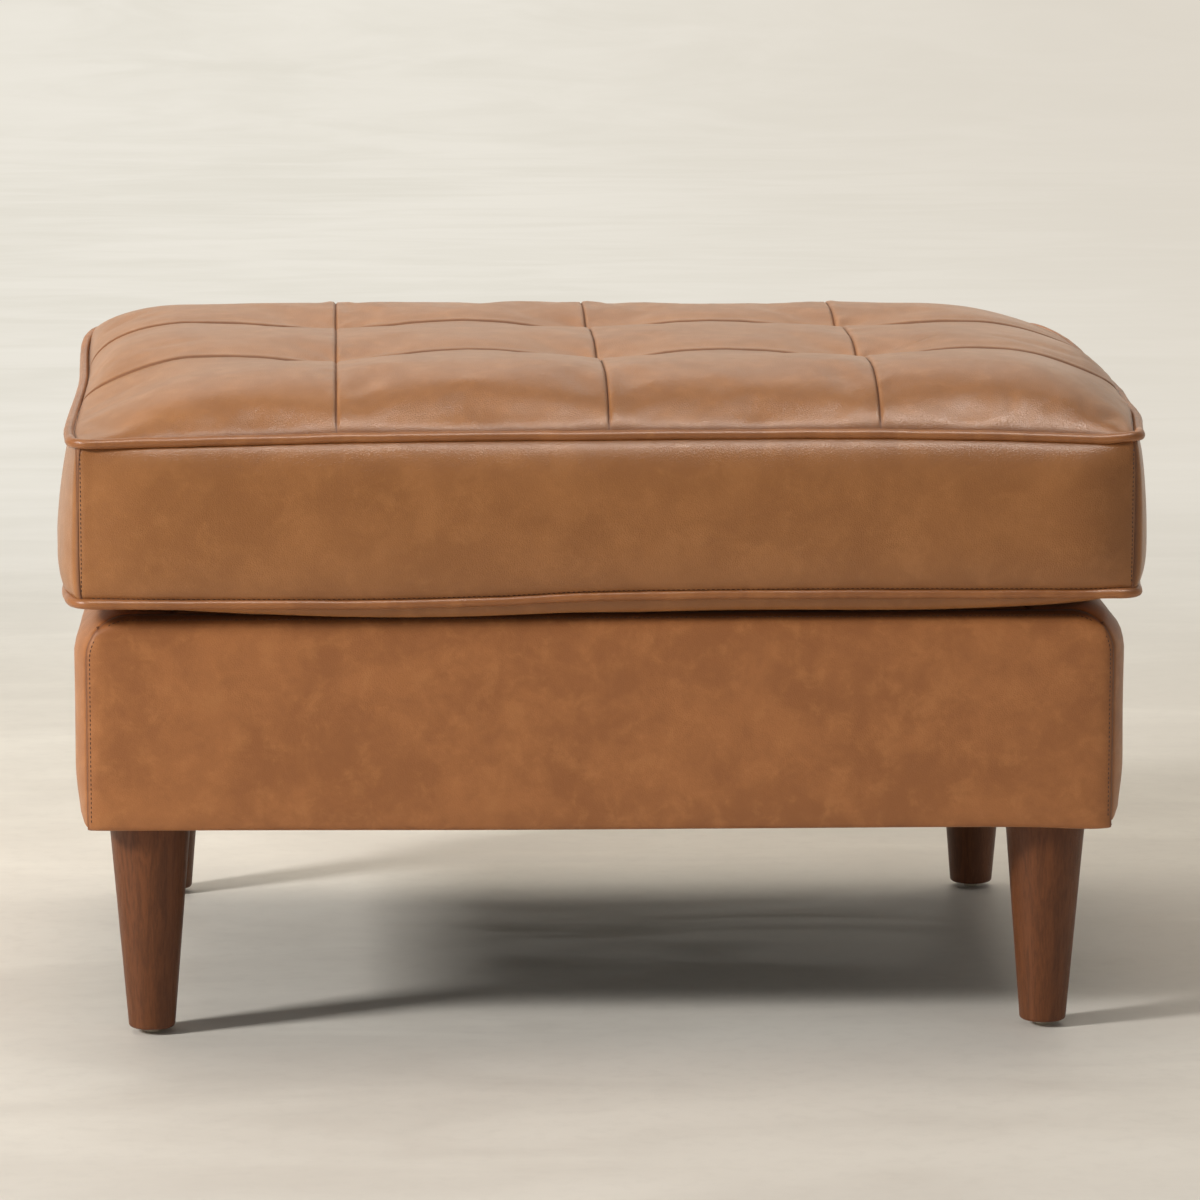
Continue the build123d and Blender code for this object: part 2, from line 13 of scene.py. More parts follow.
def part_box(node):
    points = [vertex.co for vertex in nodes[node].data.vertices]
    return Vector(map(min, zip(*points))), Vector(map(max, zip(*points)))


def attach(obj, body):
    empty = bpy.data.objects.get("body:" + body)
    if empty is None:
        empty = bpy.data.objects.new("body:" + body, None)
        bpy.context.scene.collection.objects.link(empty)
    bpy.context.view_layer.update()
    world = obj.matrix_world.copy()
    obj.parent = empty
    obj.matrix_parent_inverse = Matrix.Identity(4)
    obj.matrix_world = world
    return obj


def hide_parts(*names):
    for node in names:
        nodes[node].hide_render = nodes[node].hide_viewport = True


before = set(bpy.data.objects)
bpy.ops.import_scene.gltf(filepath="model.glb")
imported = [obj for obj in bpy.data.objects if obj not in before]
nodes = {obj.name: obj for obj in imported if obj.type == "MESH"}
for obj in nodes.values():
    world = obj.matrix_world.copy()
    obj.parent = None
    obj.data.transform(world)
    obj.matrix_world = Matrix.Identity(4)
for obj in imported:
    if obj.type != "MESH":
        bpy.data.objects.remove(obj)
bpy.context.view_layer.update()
MM = 0.001


def box_mm(node):
    """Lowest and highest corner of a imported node, in millimetres."""
    low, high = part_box(node)
    return np.array(low) / MM, np.array(high) / MM


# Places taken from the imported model
welt_low, welt_high = box_mm("top_piping")
low_welt_low, low_welt_high = box_mm("bottom_piping")
welt_radius = (welt_high[2] - welt_low[2]) / 2
welt_x = welt_high[0] - welt_radius
welt_y = welt_high[1] - welt_radius
top_welt = (welt_low[2] + welt_high[2]) / 2
low_welt = (low_welt_low[2] + low_welt_high[2]) / 2
seam_x = box_mm("front_boxing")[1][0]
seam_y = box_mm("left_boxing")[1][1]
top_low, top_high = box_mm("top_cover")
rim_x, rim_y, crown_floor = top_high[0], top_high[1], top_low[2]
belly_floor = box_mm("bottom_cover")[0][2]
base_low, base_high = box_mm("front_panel")
base_high[1] = box_mm("rear_panel")[1][1]
base_mid_x = (base_low[0] + base_high[0]) / 2

# Leather and its seams
leather = 2.0
soft_gap = 0.3
welt_corner = 11.0
rim_corner = 7.2
base_corner = 30.0
base_wrap = 60.0
base_hem = 30.0
column_seams = (-185.0, 0.0, 185.0)
cross_seam = 93.0
tufts = [(x, y) for x in column_seams for y in (-cross_seam, cross_seam)]

# The crown: the level of each row's crest from left to right, and how the crown rolls up from its rim
front_crests = ((-357, -275, -98, 90, 275, 357), (430.0, 455.2, 464.7, 463.0, 464.6, 441.5))
middle_crests = ((-357, -283, -100, 100, 283, 357), (468.9, 463.5, 463.0, 463.5, 461.4, 449.1))
rear_crests = ((-357, -275, -95, 90, 275, 357), (458.4, 462.2, 464.2, 462.3, 461.2, 445.2))
row_middle = 187.0
roll_left = ((72.5, 1.7, 1.8), (84.1, 2.89, 2.6))
roll_right = ((81.2, 2.55, 3.03), (115.8, 1.7, 2.7))
roll_front = (90.0, 2.3, 1.5)
roll_rear = (108.0, 2.1, 1.1)
corner_power = 3.2
column_dips, column_reach = (2.5, 0.8, -1.5), 52.0
cross_dip, cross_reach_front, cross_reach_rear = 2.4, 100.0, 36.0
tuft_dips, tuft_reach_x, tuft_reach_y = (8.2, 7.3, 8.5, 8.7, 9.5, 8.1), 47.0, 35.0
tuft_nip, tuft_nip_reach = 2.0, 15.0

# Relief of the top: the height, offset and width of each ridge or groove across a seam
column_relief = ((0.55, 3.6, 3.0), (0.35, -3.4, 3.0), (-1.5, 0.0, 0.8))
cross_relief = ((0.6, 4.2, 3.2), (-1.1, 0.0, 1.0), (-0.2, -3.0, 3.0))
pucker_places, pucker_height, pucker_lean = (268, 281, 293, 306, 318, 330, 341), 1.9, 0.18
wrinkle_x, wrinkle_y, wrinkle_along = 214, -76, (0.62, 0.78)
pleat_height = 1.5

# How the worn cushion differs from its pattern: lifts of the welts and bows of the side rims
top_lift = ((-351, -176, -6, 164, 266, 335, 355), (-2.0, 1.7, 2.7, 3.0, 1.2, -1.2, 0.1))
low_lift = ((-356, -176, -74, -6, 165, 268, 336), (-3.5, -4.5, -2.6, 0.4, 1.2, 0.7, 0.3))
rear_corner_lift = 12.0
rear_corner_reach = 62.0
left_bow = ((-284, -262, -224, -18, 53, 160, 203, 240, 266, 284),
            (1.0, 4.5, 7.0, 7.5, 8.5, 12.5, 14.0, 14.0, 10.0, 3.5))
right_bow = ((-284, -242, -177, -110, -41, 100, 190, 220, 245, 268, 284),
             (0.0, 4.5, 12.0, 14.0, 17.5, 18.5, 18.0, 14.5, 7.0, -3.0, -11.0))
front_fade = 110.0
bow_start, bow_full = 0.45, 0.97      # shares of the half width between which the side bows grow

# The leather of the top as cloth: its mesh, what it is spare by, and how far it may move
cloth_mesh = 7.0
cloth_frames = 20
cloth_pressure = 1.3
cloth_cap = 9.0
spare_leather = 0.005
seam_hold = 0.8
cloth_allowance = 1.6      # how much lower the crown starts, because the cloth swells
free_swell, calmed = 0.72, 0.52    # share of the swelling that is kept, and what the calm strips lose of it

# Spacing of the grids' lines, next to seams and away from them
top_mesh, wadding_mesh, underside_mesh = (0.6, 5.6), (4.0, 9.0), (0.7, 9.0)
sharp_angle = 52                   # degrees from which an edge isn't shaded round

# Boxing
front_bulge = 14.5
end_round_left, end_round_right = (8.0, 62.0), (14.0, 48.0)     # bulge and reach of its rounded ends
side_bulge = (16.8, 20.0)      # left and right
low_fullness = (8.5, 5.0)
low_bow = 2.4                  # how much further out the left end of the bottom welt lies
rear_bulge = 8.0
bulge_power = 2.35
bulge_rise = 2.5
seam_tuck = 2.0
slot_flat = 11.0               # how far from the zip's slot the rear band stays upright

# Underside, where it hangs down behind the bottom welt
belly_edge = ((-340, -313, -258, -204, -149, -94, -39, 29, 98, 208, 270, 332, 345),
              (308.0, 304.7, 300.9, 297.8, 296.1, 296.5, 298.3, 300.0, 301.0, 300.4, 302.1, 305.3, 307.0))


# Small helpers for shapes


def smooth(value, low, high):
    """0 below low, 1 above high and a soft step between them."""
    share = np.clip((value - low) / (high - low), 0, 1)
    return share * share * (3 - 2 * share)


def bump(distance, width):
    """1 at no distance, falling off softly on both sides."""
    return np.exp(-(distance / width) ** 2)


def curve(table, value):
    """Reads a measured curve, rounded off between its points."""
    places, heights = (np.array(row, float) for row in table)
    value = np.clip(value, places[0], places[-1])
    index = np.clip(np.searchsorted(places, value) - 1, 0, len(places) - 2)
    share = (value - places[index]) / (places[index + 1] - places[index])
    before, after = np.maximum(index - 1, 0), np.minimum(index + 2, len(places) - 1)
    start_slope = (heights[index + 1] - heights[before]) / (places[index + 1] - places[before])
    end_slope = (heights[after] - heights[index]) / (places[after] - places[index])
    run = places[index + 1] - places[index]
    square, cube = share ** 2, share ** 3
    return (heights[index] * (2 * cube - 3 * square + 1) + heights[index + 1] * (3 * square - 2 * cube)
            + run * start_slope * (cube - 2 * square + share) + run * end_slope * (cube - square))


def swell(x, y, z, scale, seed):
    """A slow, seeded unevenness between about -1 and 1."""
    x, y, z = np.broadcast_arrays(x, y, z)
    flat = [noise.noise(Vector((a / scale + seed, b / scale, c / scale)))
            for a, b, c in zip(x.ravel(), y.ravel(), z.ravel())]
    return np.array(flat).reshape(x.shape) * 1.6


def lines(stops, fine, coarse, growth=1.4):
    """Grid lines that are close together at the stops and wide apart between them."""
    places = [stops[0]]
    for start, end in zip(stops, stops[1:]):
        steps, step, total = [], fine, 0.0
        while total < (end - start) / 2:
            steps.append(step)
            total += step
            step = min(step * growth, coarse)
        run = np.cumsum(steps) * (end - start) / 2 / total
        places += list(start + run) + list(end - run[::-1][1:]) + [end]
    return np.array(places)


def round_corner(x, y, half_x, half_y, radius):
    """Moves the corners of a rectangular grid onto a rounded outline."""
    in_x = np.clip((np.abs(x) - half_x + radius) / radius, 0, 1)
    in_y = np.clip((np.abs(y) - half_y + radius) / radius, 0, 1)
    new_x = in_x * np.sqrt(1 - in_y ** 2 / 2)
    new_y = in_y * np.sqrt(1 - in_x ** 2 / 2)
    corner = (in_x > 0) & (in_y > 0)
    x = np.where(corner, np.sign(x) * (half_x - radius + radius * new_x), x)
    y = np.where(corner, np.sign(y) * (half_y - radius + radius * new_y), y)
    return x, y


def side_bow(x, y):
    """How far the side rims stand out beyond the cushion's pattern."""
    bow = np.where(x < 0, -curve(left_bow, y), curve(right_bow, y))
    return bow * smooth(np.abs(x), bow_start * welt_x, bow_full * welt_x)


def rim_lift(x, y, table, corners):
    """How far a welt lies above its level."""
    front = curve(table, x) * (1 - smooth(y, -welt_y, front_fade - welt_y))
    away = np.hypot(np.abs(x) - welt_x, y - welt_y)
    return front + corners * bump(away, rear_corner_reach)


def settle(points, hold=1.0):
    """Moves points of the cushion's pattern to where the worn cushion has them. Hold fades the lift."""
    x, y, z = points[..., 0], points[..., 1], points[..., 2]
    share = np.clip((z - low_welt) / (top_welt - low_welt), 0, 1)
    lift = share * rim_lift(x, y, top_lift, rear_corner_lift) + (1 - share) * rim_lift(x, y, low_lift, 0.0)
    at_left = smooth(-x, bow_start * welt_x, bow_full * welt_x)
    lower = low_bow * (1 - share) * at_left * smooth(-np.abs(y), -welt_y, -welt_y + 40)
    return np.stack([x + side_bow(x, y) - lower, y, z + lift * hold], axis=-1)


# Small helpers for meshes


def grid_faces(rows, columns, close_rows=False, close_columns=False):
    """Four-sided faces between the points of a grid, which may close on itself either way."""
    row = np.arange(rows if close_rows else rows - 1)
    column = np.arange(columns if close_columns else columns - 1)
    a, b = np.meshgrid(row, column, indexing="ij")
    a, b = a.ravel(), b.ravel()
    c, d = (a + 1) % rows, (b + 1) % columns
    return np.stack([a * columns + b, c * columns + b, c * columns + d, a * columns + d], axis=1)


def capped_faces(rows, columns):
    """Faces of stacked closed rings, with a lid at both ends."""
    sides = [tuple(face) for face in grid_faces(rows, columns, close_columns=True)]
    return sides + [tuple(range(columns)), tuple(range((rows - 1) * columns, rows * columns))]


def piece(name, points, faces, material, inside=None, wall=0.0):
    """A mesh piece. Inside is a point that its faces look away from, and wall gives it a thickness."""
    mesh = bpy.data.meshes.new(name)
    points = np.asarray(points, float).reshape(-1, 3)
    mesh.from_pydata((points * MM).tolist(), [], [tuple(int(i) for i in face) for face in faces])
    shape = bmesh.new()
    shape.from_mesh(mesh)
    bmesh.ops.remove_doubles(shape, verts=shape.verts, dist=1e-6)
    bmesh.ops.recalc_face_normals(shape, faces=shape.faces)
    if inside is not None:
        centre = Vector(inside) * MM
        outward = sum(f.normal.dot(f.calc_center_median() - centre) * f.calc_area() for f in shape.faces)
        if outward < 0:
            bmesh.ops.reverse_faces(shape, faces=shape.faces)
    shape.to_mesh(mesh)
    shape.free()
    mesh.shade_smooth()
    mesh.set_sharp_from_angle(angle=radians(sharp_angle))
    made = bpy.data.objects.new(name, mesh)
    bpy.context.scene.collection.objects.link(made)
    made.data.materials.append(material)
    if wall:
        skin = made.modifiers.new("wall", "SOLIDIFY")
        skin.thickness = wall * MM
        skin.offset = -1
    return made


def mark(made, name, values):
    """Keeps one number for each point, for the piece's finish to read."""
    layer = made.data.attributes.new(name, "FLOAT", "POINT")
    layer.data.foreach_set("value", np.asarray(values, np.float32))


def places_of(made):
    """X, Y and Z of a piece's points, in millimetres."""
    places = np.zeros(len(made.data.vertices) * 3)
    made.data.vertices.foreach_get("co", places)
    return places.reshape(-1, 3).T / MM


def finish_piece(made, body, node):
    """Attaches a piece to the body it rides on and hides the imported node it replaces."""
    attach(made, body)
    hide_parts(node)
    return made


def sweep(name, path, section, material):
    """Carries a section, given as (out, up) points, along a path that runs round the cushion."""
    along = np.roll(path, -1, axis=0) - np.roll(path, 1, axis=0)
    along /= np.linalg.norm(along, axis=1)[:, None]
    up = np.array([0.0, 0.0, 1.0]) - along * along[:, 2:3]
    up /= np.linalg.norm(up, axis=1)[:, None]
    out = np.cross(along, up)
    section = np.broadcast_to(section, (len(path),) + np.shape(section)[-2:])
    points = path[:, None, :] + section[..., 0:1] * out[:, None, :] + section[..., 1:2] * up[:, None, :]
    faces = grid_faces(len(path), points.shape[1], close_rows=True, close_columns=True)
    return piece(name, points, faces, material)


def rounded_path(half_x, half_y, radius, spacing, corner_steps=10):
    """Points of a rounded rectangle, anticlockwise from the middle of its front side."""
    corners = [(1, -1, -90), (1, 1, 0), (-1, 1, 90), (-1, -1, 180)]
    ring = [(0.0, -half_y)]
    for sign_x, sign_y, start in corners:
        centre = np.array([sign_x * (half_x - radius), sign_y * (half_y - radius)])
        first = centre + radius * np.array([cos(radians(start)), sin(radians(start))])
        last_place = np.array(ring[-1])
        steps = max(int(np.linalg.norm(first - last_place) / spacing), 1)
        ring += [tuple(last_place + (first - last_place) * (i + 1) / steps) for i in range(steps)]
        for i in range(1, corner_steps + 1):
            angle = radians(start + 90 * i / corner_steps)
            ring.append(tuple(centre + radius * np.array([cos(angle), sin(angle)])))
    last_place = np.array(ring[-1])
    steps = max(int(abs(last_place[0]) / spacing), 1)
    ring += [tuple(last_place * (1 - i / steps) + np.array([0, -half_y]) * (i / steps))
             for i in range(1, steps)]
    return np.array(ring)


def join_meshes(name, parts, material):
    """Many small closed bodies in one piece. Each part is (points, faces)."""
    points, faces, start = [], [], 0
    for part_points, part_faces in parts:
        points.append(np.asarray(part_points, float))
        faces += [tuple(i + start for i in face) for face in part_faces]
        start += len(part_points)
    return piece(name, np.concatenate(points), faces, material)


# Finishes


class Value:
    """A shader socket that can be added to and multiplied."""

    def __init__(self, recipe, socket):
        self.recipe, self.socket = recipe, socket

    def maths(self, operation, first, second):
        return self.recipe.node("ShaderNodeMath", {"operation": operation}, {0: first, 1: second})

    def __add__(self, other):
        return self.maths("ADD", self, other)

    def __mul__(self, other):
        return self.maths("MULTIPLY", self, other)


class Recipe:
    """The nodes of one finish."""

    def __init__(self, name):
        self.material = bpy.data.materials.new(name)
        self.material.use_nodes = True
        self.tree = self.material.node_tree
        self.tree.nodes.clear()
        self.place = self.node("ShaderNodeTexCoord", output="Object")

    def node(self, kind, settings=None, sockets=None, output=0):
        """Adds a node with its settings and inputs, and gives one of its outputs."""
        made = self.tree.nodes.new(kind)
        for key, value in (settings or {}).items():
            setattr(made, key, value)
        for key, value in (sockets or {}).items():
            if isinstance(value, Value):
                self.tree.links.new(value.socket, made.inputs[key])
            else:
                made.inputs[key].default_value = value
        return Value(self, made.outputs[output])

    def stretched(self, scale, shift=(0, 0, 0)):
        return self.node("ShaderNodeMapping", {}, {"Vector": self.place, "Scale": scale, "Location": shift})

    def noise(self, scale, detail=4.0, roughness=0.5, distortion=0.0, place=None):
        return self.node("ShaderNodeTexNoise", {}, {
            "Vector": place or self.place, "Scale": scale, "Detail": detail,
            "Roughness": roughness, "Distortion": distortion})

    def cells(self, scale, feature="F1", randomness=1.0):
        return self.node("ShaderNodeTexVoronoi", {"feature": feature}, {
            "Vector": self.place, "Scale": scale, "Randomness": randomness}, output="Distance")

    def spread(self, value, low, high, to_low=0.0, to_high=1.0):
        """Spreads a range of a value over another, with soft ends."""
        return self.node("ShaderNodeMapRange", {"interpolation_type": "SMOOTHSTEP"}, {
            "Value": value, "From Min": low, "From Max": high, "To Min": to_low, "To Max": to_high})

    def mix(self, factor, first, second):
        return self.node("ShaderNodeMix", {"data_type": "RGBA"}, {0: factor, 6: first, 7: second}, output=2)

    def axis(self, letter):
        return self.node("ShaderNodeSeparateXYZ", {}, {0: self.place}, output=letter)

    def wave(self, value):
        return self.node("ShaderNodeMath", {"operation": "SINE"}, {0: value})

    def marked(self, name):
        """A number that was marked on the piece's points."""
        return self.node("ShaderNodeAttribute", {"attribute_name": name}, output="Fac")

    def bump(self, height, distance, strength):
        return self.node("ShaderNodeBump", {}, {"Height": height, "Distance": distance, "Strength": strength})

    def surface(self, sockets):
        return self.finished(self.node("ShaderNodeBsdfPrincipled", {}, sockets))

    def finished(self, shader):
        output = self.tree.nodes.new("ShaderNodeOutputMaterial")
        self.tree.links.new(shader.socket, output.inputs["Surface"])
        return self.material


def srgb(red, green, blue):
    """A colour as written on a 0 to 255 scale, in the linear values that shaders use."""
    def linear(level):
        share = level / 255
        return share / 12.92 if share <= 0.04045 else ((share + 0.055) / 1.055) ** 2.4
    return (linear(red), linear(green), linear(blue), 1.0)


seam_shade, gap_shade = srgb(84, 40, 18), srgb(44, 23, 11)


def leather_finish(name, deep, middle, light, shine, grain=1.0, painted_overhang_shadow=False):
    """Pull-up leather: cloudy colour, fine pebbled grain and a soft wax shine. With a painted overhang
    shadow, the colour is painted darker just below the cushion's overhang, where its shadow falls."""
    mix = Recipe(name)
    clouds = mix.noise(17.0, 5.0, 0.62, 0.6)
    patches = mix.noise(58.0, 5.0, 0.64, 0.3, mix.stretched((1, 1, 1), (3.1, 1.7, 0.4)))
    specks = mix.noise(240.0, 3.0, 0.55)
    cloudy = mix.spread(clouds * 0.62 + patches * 0.38, 0.38, 0.62)
    colour = mix.mix(cloudy, deep, middle)
    colour = mix.mix(mix.spread(patches, 0.5, 0.72) * 0.45, colour, light)
    colour = mix.mix(mix.spread(specks, 0.56, 0.75) * 0.16, colour, deep)
    pebble = mix.cells(620.0, "DISTANCE_TO_EDGE")
    fine = mix.cells(1350.0, "F1")
    creases = mix.noise(95.0, 6.0, 0.7, 1.2)
    height = mix.spread(pebble, 0.0, 0.22) * 0.55 + fine * 0.25 + creases * 0.9
    roughness = mix.spread(patches * 0.5 + creases * 0.5, 0.35, 0.65, shine + 0.025, shine - 0.025)
    seam = mix.marked("seam")
    colour = mix.mix(seam * 0.72, colour, seam_shade)
    roughness = roughness + seam * 0.25
    if painted_overhang_shadow:
        # Painted shadow: darkens the base leather's colour where the cushion's overhang shades its top edge
        colour = mix.mix(mix.marked("overhang_shadow") * 0.7, colour, gap_shade)
    return mix.surface({
        "Base Color": colour, "Roughness": roughness, "Normal": mix.bump(height, 0.00014 * grain, 0.55),
        "Specular IOR Level": 0.5, "Sheen Weight": 0.11, "Sheen Roughness": 0.36,
        "Sheen Tint": srgb(255, 244, 228)})


def wood_finish(name, dark, light, along, scale, roughness, coat):
    """Straight-grained wood: streaks, pores and a thin finish. Along is the stretch of the grain."""
    mix = Recipe(name)
    drawn = mix.stretched(along)
    bands = mix.noise(26.0 * scale, 5.0, 0.62, 1.1, drawn)
    streaks = mix.noise(150.0 * scale, 4.0, 0.6, 0.4, drawn)
    pores = mix.noise(420.0 * scale, 2.0, 0.5, 0.0, drawn)
    tone = mix.spread(bands * 0.6 + streaks * 0.4, 0.36, 0.64)
    colour = mix.mix(tone, dark, light)
    pore = mix.spread(pores, 0.56, 0.68)
    colour = mix.mix(pore * 0.2, colour, tuple(v * 0.5 for v in dark[:3]) + (1.0,))
    return mix.surface({
        "Base Color": colour, "Roughness": mix.spread(streaks, 0.3, 0.7, roughness + 0.07, roughness - 0.05),
        "Normal": mix.bump(pore * -0.6 + streaks * 0.4, 0.00012, 0.5),
        "Coat Weight": coat, "Coat Roughness": 0.18, "Specular IOR Level": 0.35})


def woven_finish(name, dark, light, threads, roughness=0.85, sheen=0.2):
    """Plain-woven cloth with its threads along X and Y, or along X and Z where it stands upright."""
    mix = Recipe(name)
    x, y, z = (mix.axis(letter) for letter in "XYZ")
    weave = mix.wave((x + z) * threads) * mix.wave((y + z) * threads)
    slub = mix.noise(60.0, 4.0, 0.6, 0.3, mix.stretched((1.0, 9.0, 1.0)))
    lint = mix.noise(900.0, 2.0, 0.5)
    colour = mix.mix(mix.spread(weave * 0.25 + slub * 0.5 + lint * 0.35, 0.25, 0.65), dark, light)
    return mix.surface({
        "Base Color": colour, "Roughness": mix.spread(slub, 0.3, 0.7, roughness - 0.05, roughness + 0.05),
        "Normal": mix.bump(weave * 0.5 + lint * 0.4, 0.0003, 0.7), "Sheen Weight": sheen,
        "Specular IOR Level": 0.3})


def felt_finish(name, dark, light, scale=240.0, dimple=0.0, roughness=0.9):
    """Non-woven cloth, wadding, foam or board: fibres, pores and, if asked, a pressed dimple pattern."""
    mix = Recipe(name)
    fibre = mix.noise(scale, 5.0, 0.7, 1.4)
    pores = mix.cells(scale * 2.6)
    height = fibre * 0.7 + pores * 0.5
    if dimple:
        cells = mix.cells(dimple, "F1", randomness=0.0)
        height = height + mix.spread(cells, 0.2, 0.42) * 0.8
    colour = mix.mix(mix.spread(fibre * 0.6 + pores * 0.5, 0.3, 0.75), dark, light)
    return mix.surface({
        "Base Color": colour, "Roughness": mix.spread(fibre, 0.3, 0.7, roughness - 0.06, roughness + 0.04),
        "Normal": mix.bump(height, 0.0004, 0.6), "Specular IOR Level": 0.25})


def metal_finish(name, colour, dull, roughness):
    """Plated steel with fine handling marks and some tarnish."""
    mix = Recipe(name)
    stain = mix.noise(60.0, 5.0, 0.6, 0.5)
    marks = mix.noise(300.0, 3.0, 0.5, 0.2, mix.stretched((1.0, 1.0, 12.0)))
    tone = mix.mix(mix.spread(stain, 0.45, 0.7) * 0.6, colour, dull)
    worn = mix.spread(marks * 0.5 + stain * 0.5, 0.35, 0.65, roughness - 0.07, roughness + 0.1)
    return mix.surface({"Base Color": tone, "Metallic": 1.0, "Roughness": worn,
                        "Normal": mix.bump(marks, 0.00005, 0.4)})


def plastic_finish(name, colour, worn, roughness):
    """Scuffed plastic."""
    mix = Recipe(name)
    scuff = mix.noise(420.0, 4.0, 0.6, 0.8)
    haze = mix.noise(90.0, 3.0, 0.5)
    tone = mix.mix(mix.spread(scuff, 0.5, 0.75) * 0.6, colour, worn)
    return mix.surface({
        "Base Color": tone, "Roughness": mix.spread(haze, 0.3, 0.7, roughness - 0.05, roughness + 0.1),
        "Normal": mix.bump(scuff, 0.00006, 0.4)})


def thread_finish(name, dark, light, twist):
    """Twisted thread or cord."""
    mix = Recipe(name)
    x, y, z = (mix.axis(letter) for letter in "XYZ")
    ply = mix.wave((x + y + z) * twist)
    fuzz = mix.noise(1500.0, 3.0, 0.6)
    tone = mix.mix(mix.spread(ply * 0.3 + fuzz, 0.2, 0.9), dark, light)
    return mix.surface({
        "Base Color": tone, "Roughness": mix.spread(fuzz, 0.3, 0.7, 0.62, 0.78),
        "Normal": mix.bump(ply * 0.5 + fuzz * 0.5, 0.00012, 0.7), "Sheen Weight": 0.15})


tan_deep, tan_middle, tan_light = srgb(155, 100, 53), srgb(166, 109, 60), srgb(175, 118, 68)
cushion_leather = leather_finish("cushion_leather", tan_deep, tan_middle, tan_light, 0.34, grain=1.4)
piping_leather = leather_finish("piping_leather", srgb(150, 93, 49), srgb(167, 106, 58), tan_light, 0.36,
                                grain=0.7)
base_leather = leather_finish("base_leather", srgb(156, 97, 51), srgb(174, 111, 61), srgb(187, 125, 72), 0.44,
                              painted_overhang_shadow=True)
dark_thread = thread_finish("dark_thread", srgb(58, 32, 18), srgb(88, 52, 30), 5200.0)
leg_wood = wood_finish("leg_wood", srgb(91, 50, 22), srgb(114, 65, 32), (6.0, 6.0, 0.55), 1.0, 0.46, 0.03)
frame_timber = wood_finish("frame_timber", srgb(196, 158, 108), srgb(222, 190, 143), (1.0, 9.0, 9.0),
                           0.8, 0.62, 0.0)
cotton_cord = thread_finish("cotton_cord", srgb(205, 196, 178), srgb(232, 226, 212), 2100.0)
seat_foam = felt_finish("seat_foam", srgb(214, 204, 170), srgb(236, 229, 200), 700.0)
fibre_fill = felt_finish("fibre_fill", srgb(222, 222, 218), srgb(246, 246, 243), 160.0)
pressed_board = felt_finish("pressed_board", srgb(128, 98, 66), srgb(160, 128, 92), 420.0)
zip_cloth = woven_finish("zip_cloth", srgb(86, 54, 33), srgb(116, 76, 48), 7000.0)
zip_brass = metal_finish("zip_brass", srgb(170, 132, 78), srgb(112, 84, 48), 0.34)
deck_weave = woven_finish("deck_weave", srgb(78, 54, 38), srgb(112, 80, 56), 3100.0)
spring_felt = felt_finish("spring_felt", srgb(70, 68, 66), srgb(102, 99, 95), 260.0)
spring_steel = metal_finish("spring_steel", srgb(120, 120, 122), srgb(78, 74, 70), 0.42)
zinc_steel = metal_finish("zinc_steel", srgb(188, 190, 192), srgb(142, 142, 140), 0.33)
dust_felt = felt_finish("dust_felt", srgb(20, 20, 21), srgb(40, 39, 38), 300.0, 420.0)
glide_plastic = plastic_finish("glide_plastic", srgb(206, 198, 180), srgb(176, 166, 148), 0.45)

for material, names in (
        (leg_wood, ["leg_front_left", "leg_front_right", "leg_rear_left", "leg_rear_right"]),
        (glide_plastic, ["glide_front_left", "glide_front_right", "glide_rear_left", "glide_rear_right"]),
        (frame_timber, ["front_rail", "rear_rail", "left_rail", "right_rail", "centre_slat",
                        "corner_blocks"]),
        (zinc_steel, ["t_nuts", "hanger_bolts", "spring_clips", "dust_cover_staples"]),
        (spring_steel, ["sinuous_springs"]),
        (cotton_cord, ["tuft_twines"]),
        (pressed_board, ["tuft_anchors"]),
        (zip_brass, ["zip_slider", "zip_pull", "zip_stops"])):
    for name in names:
        nodes[name].data.materials.clear()
        nodes[name].data.materials.append(material)


def ease_edges(node, width):
    edge = nodes[node].modifiers.new("eased_edges", "BEVEL")
    edge.width = width * MM
    edge.segments = 3
    edge.limit_method = "ANGLE"
    edge.angle_limit = radians(40)


ease_edges("zip_slider", 0.25)
ease_edges("zip_pull", 0.2)


# Tufted top


def from_columns(x):
    """Distance from the nearest seam that runs from front to back."""
    return np.min([np.abs(x - seam) for seam in column_seams], axis=0)


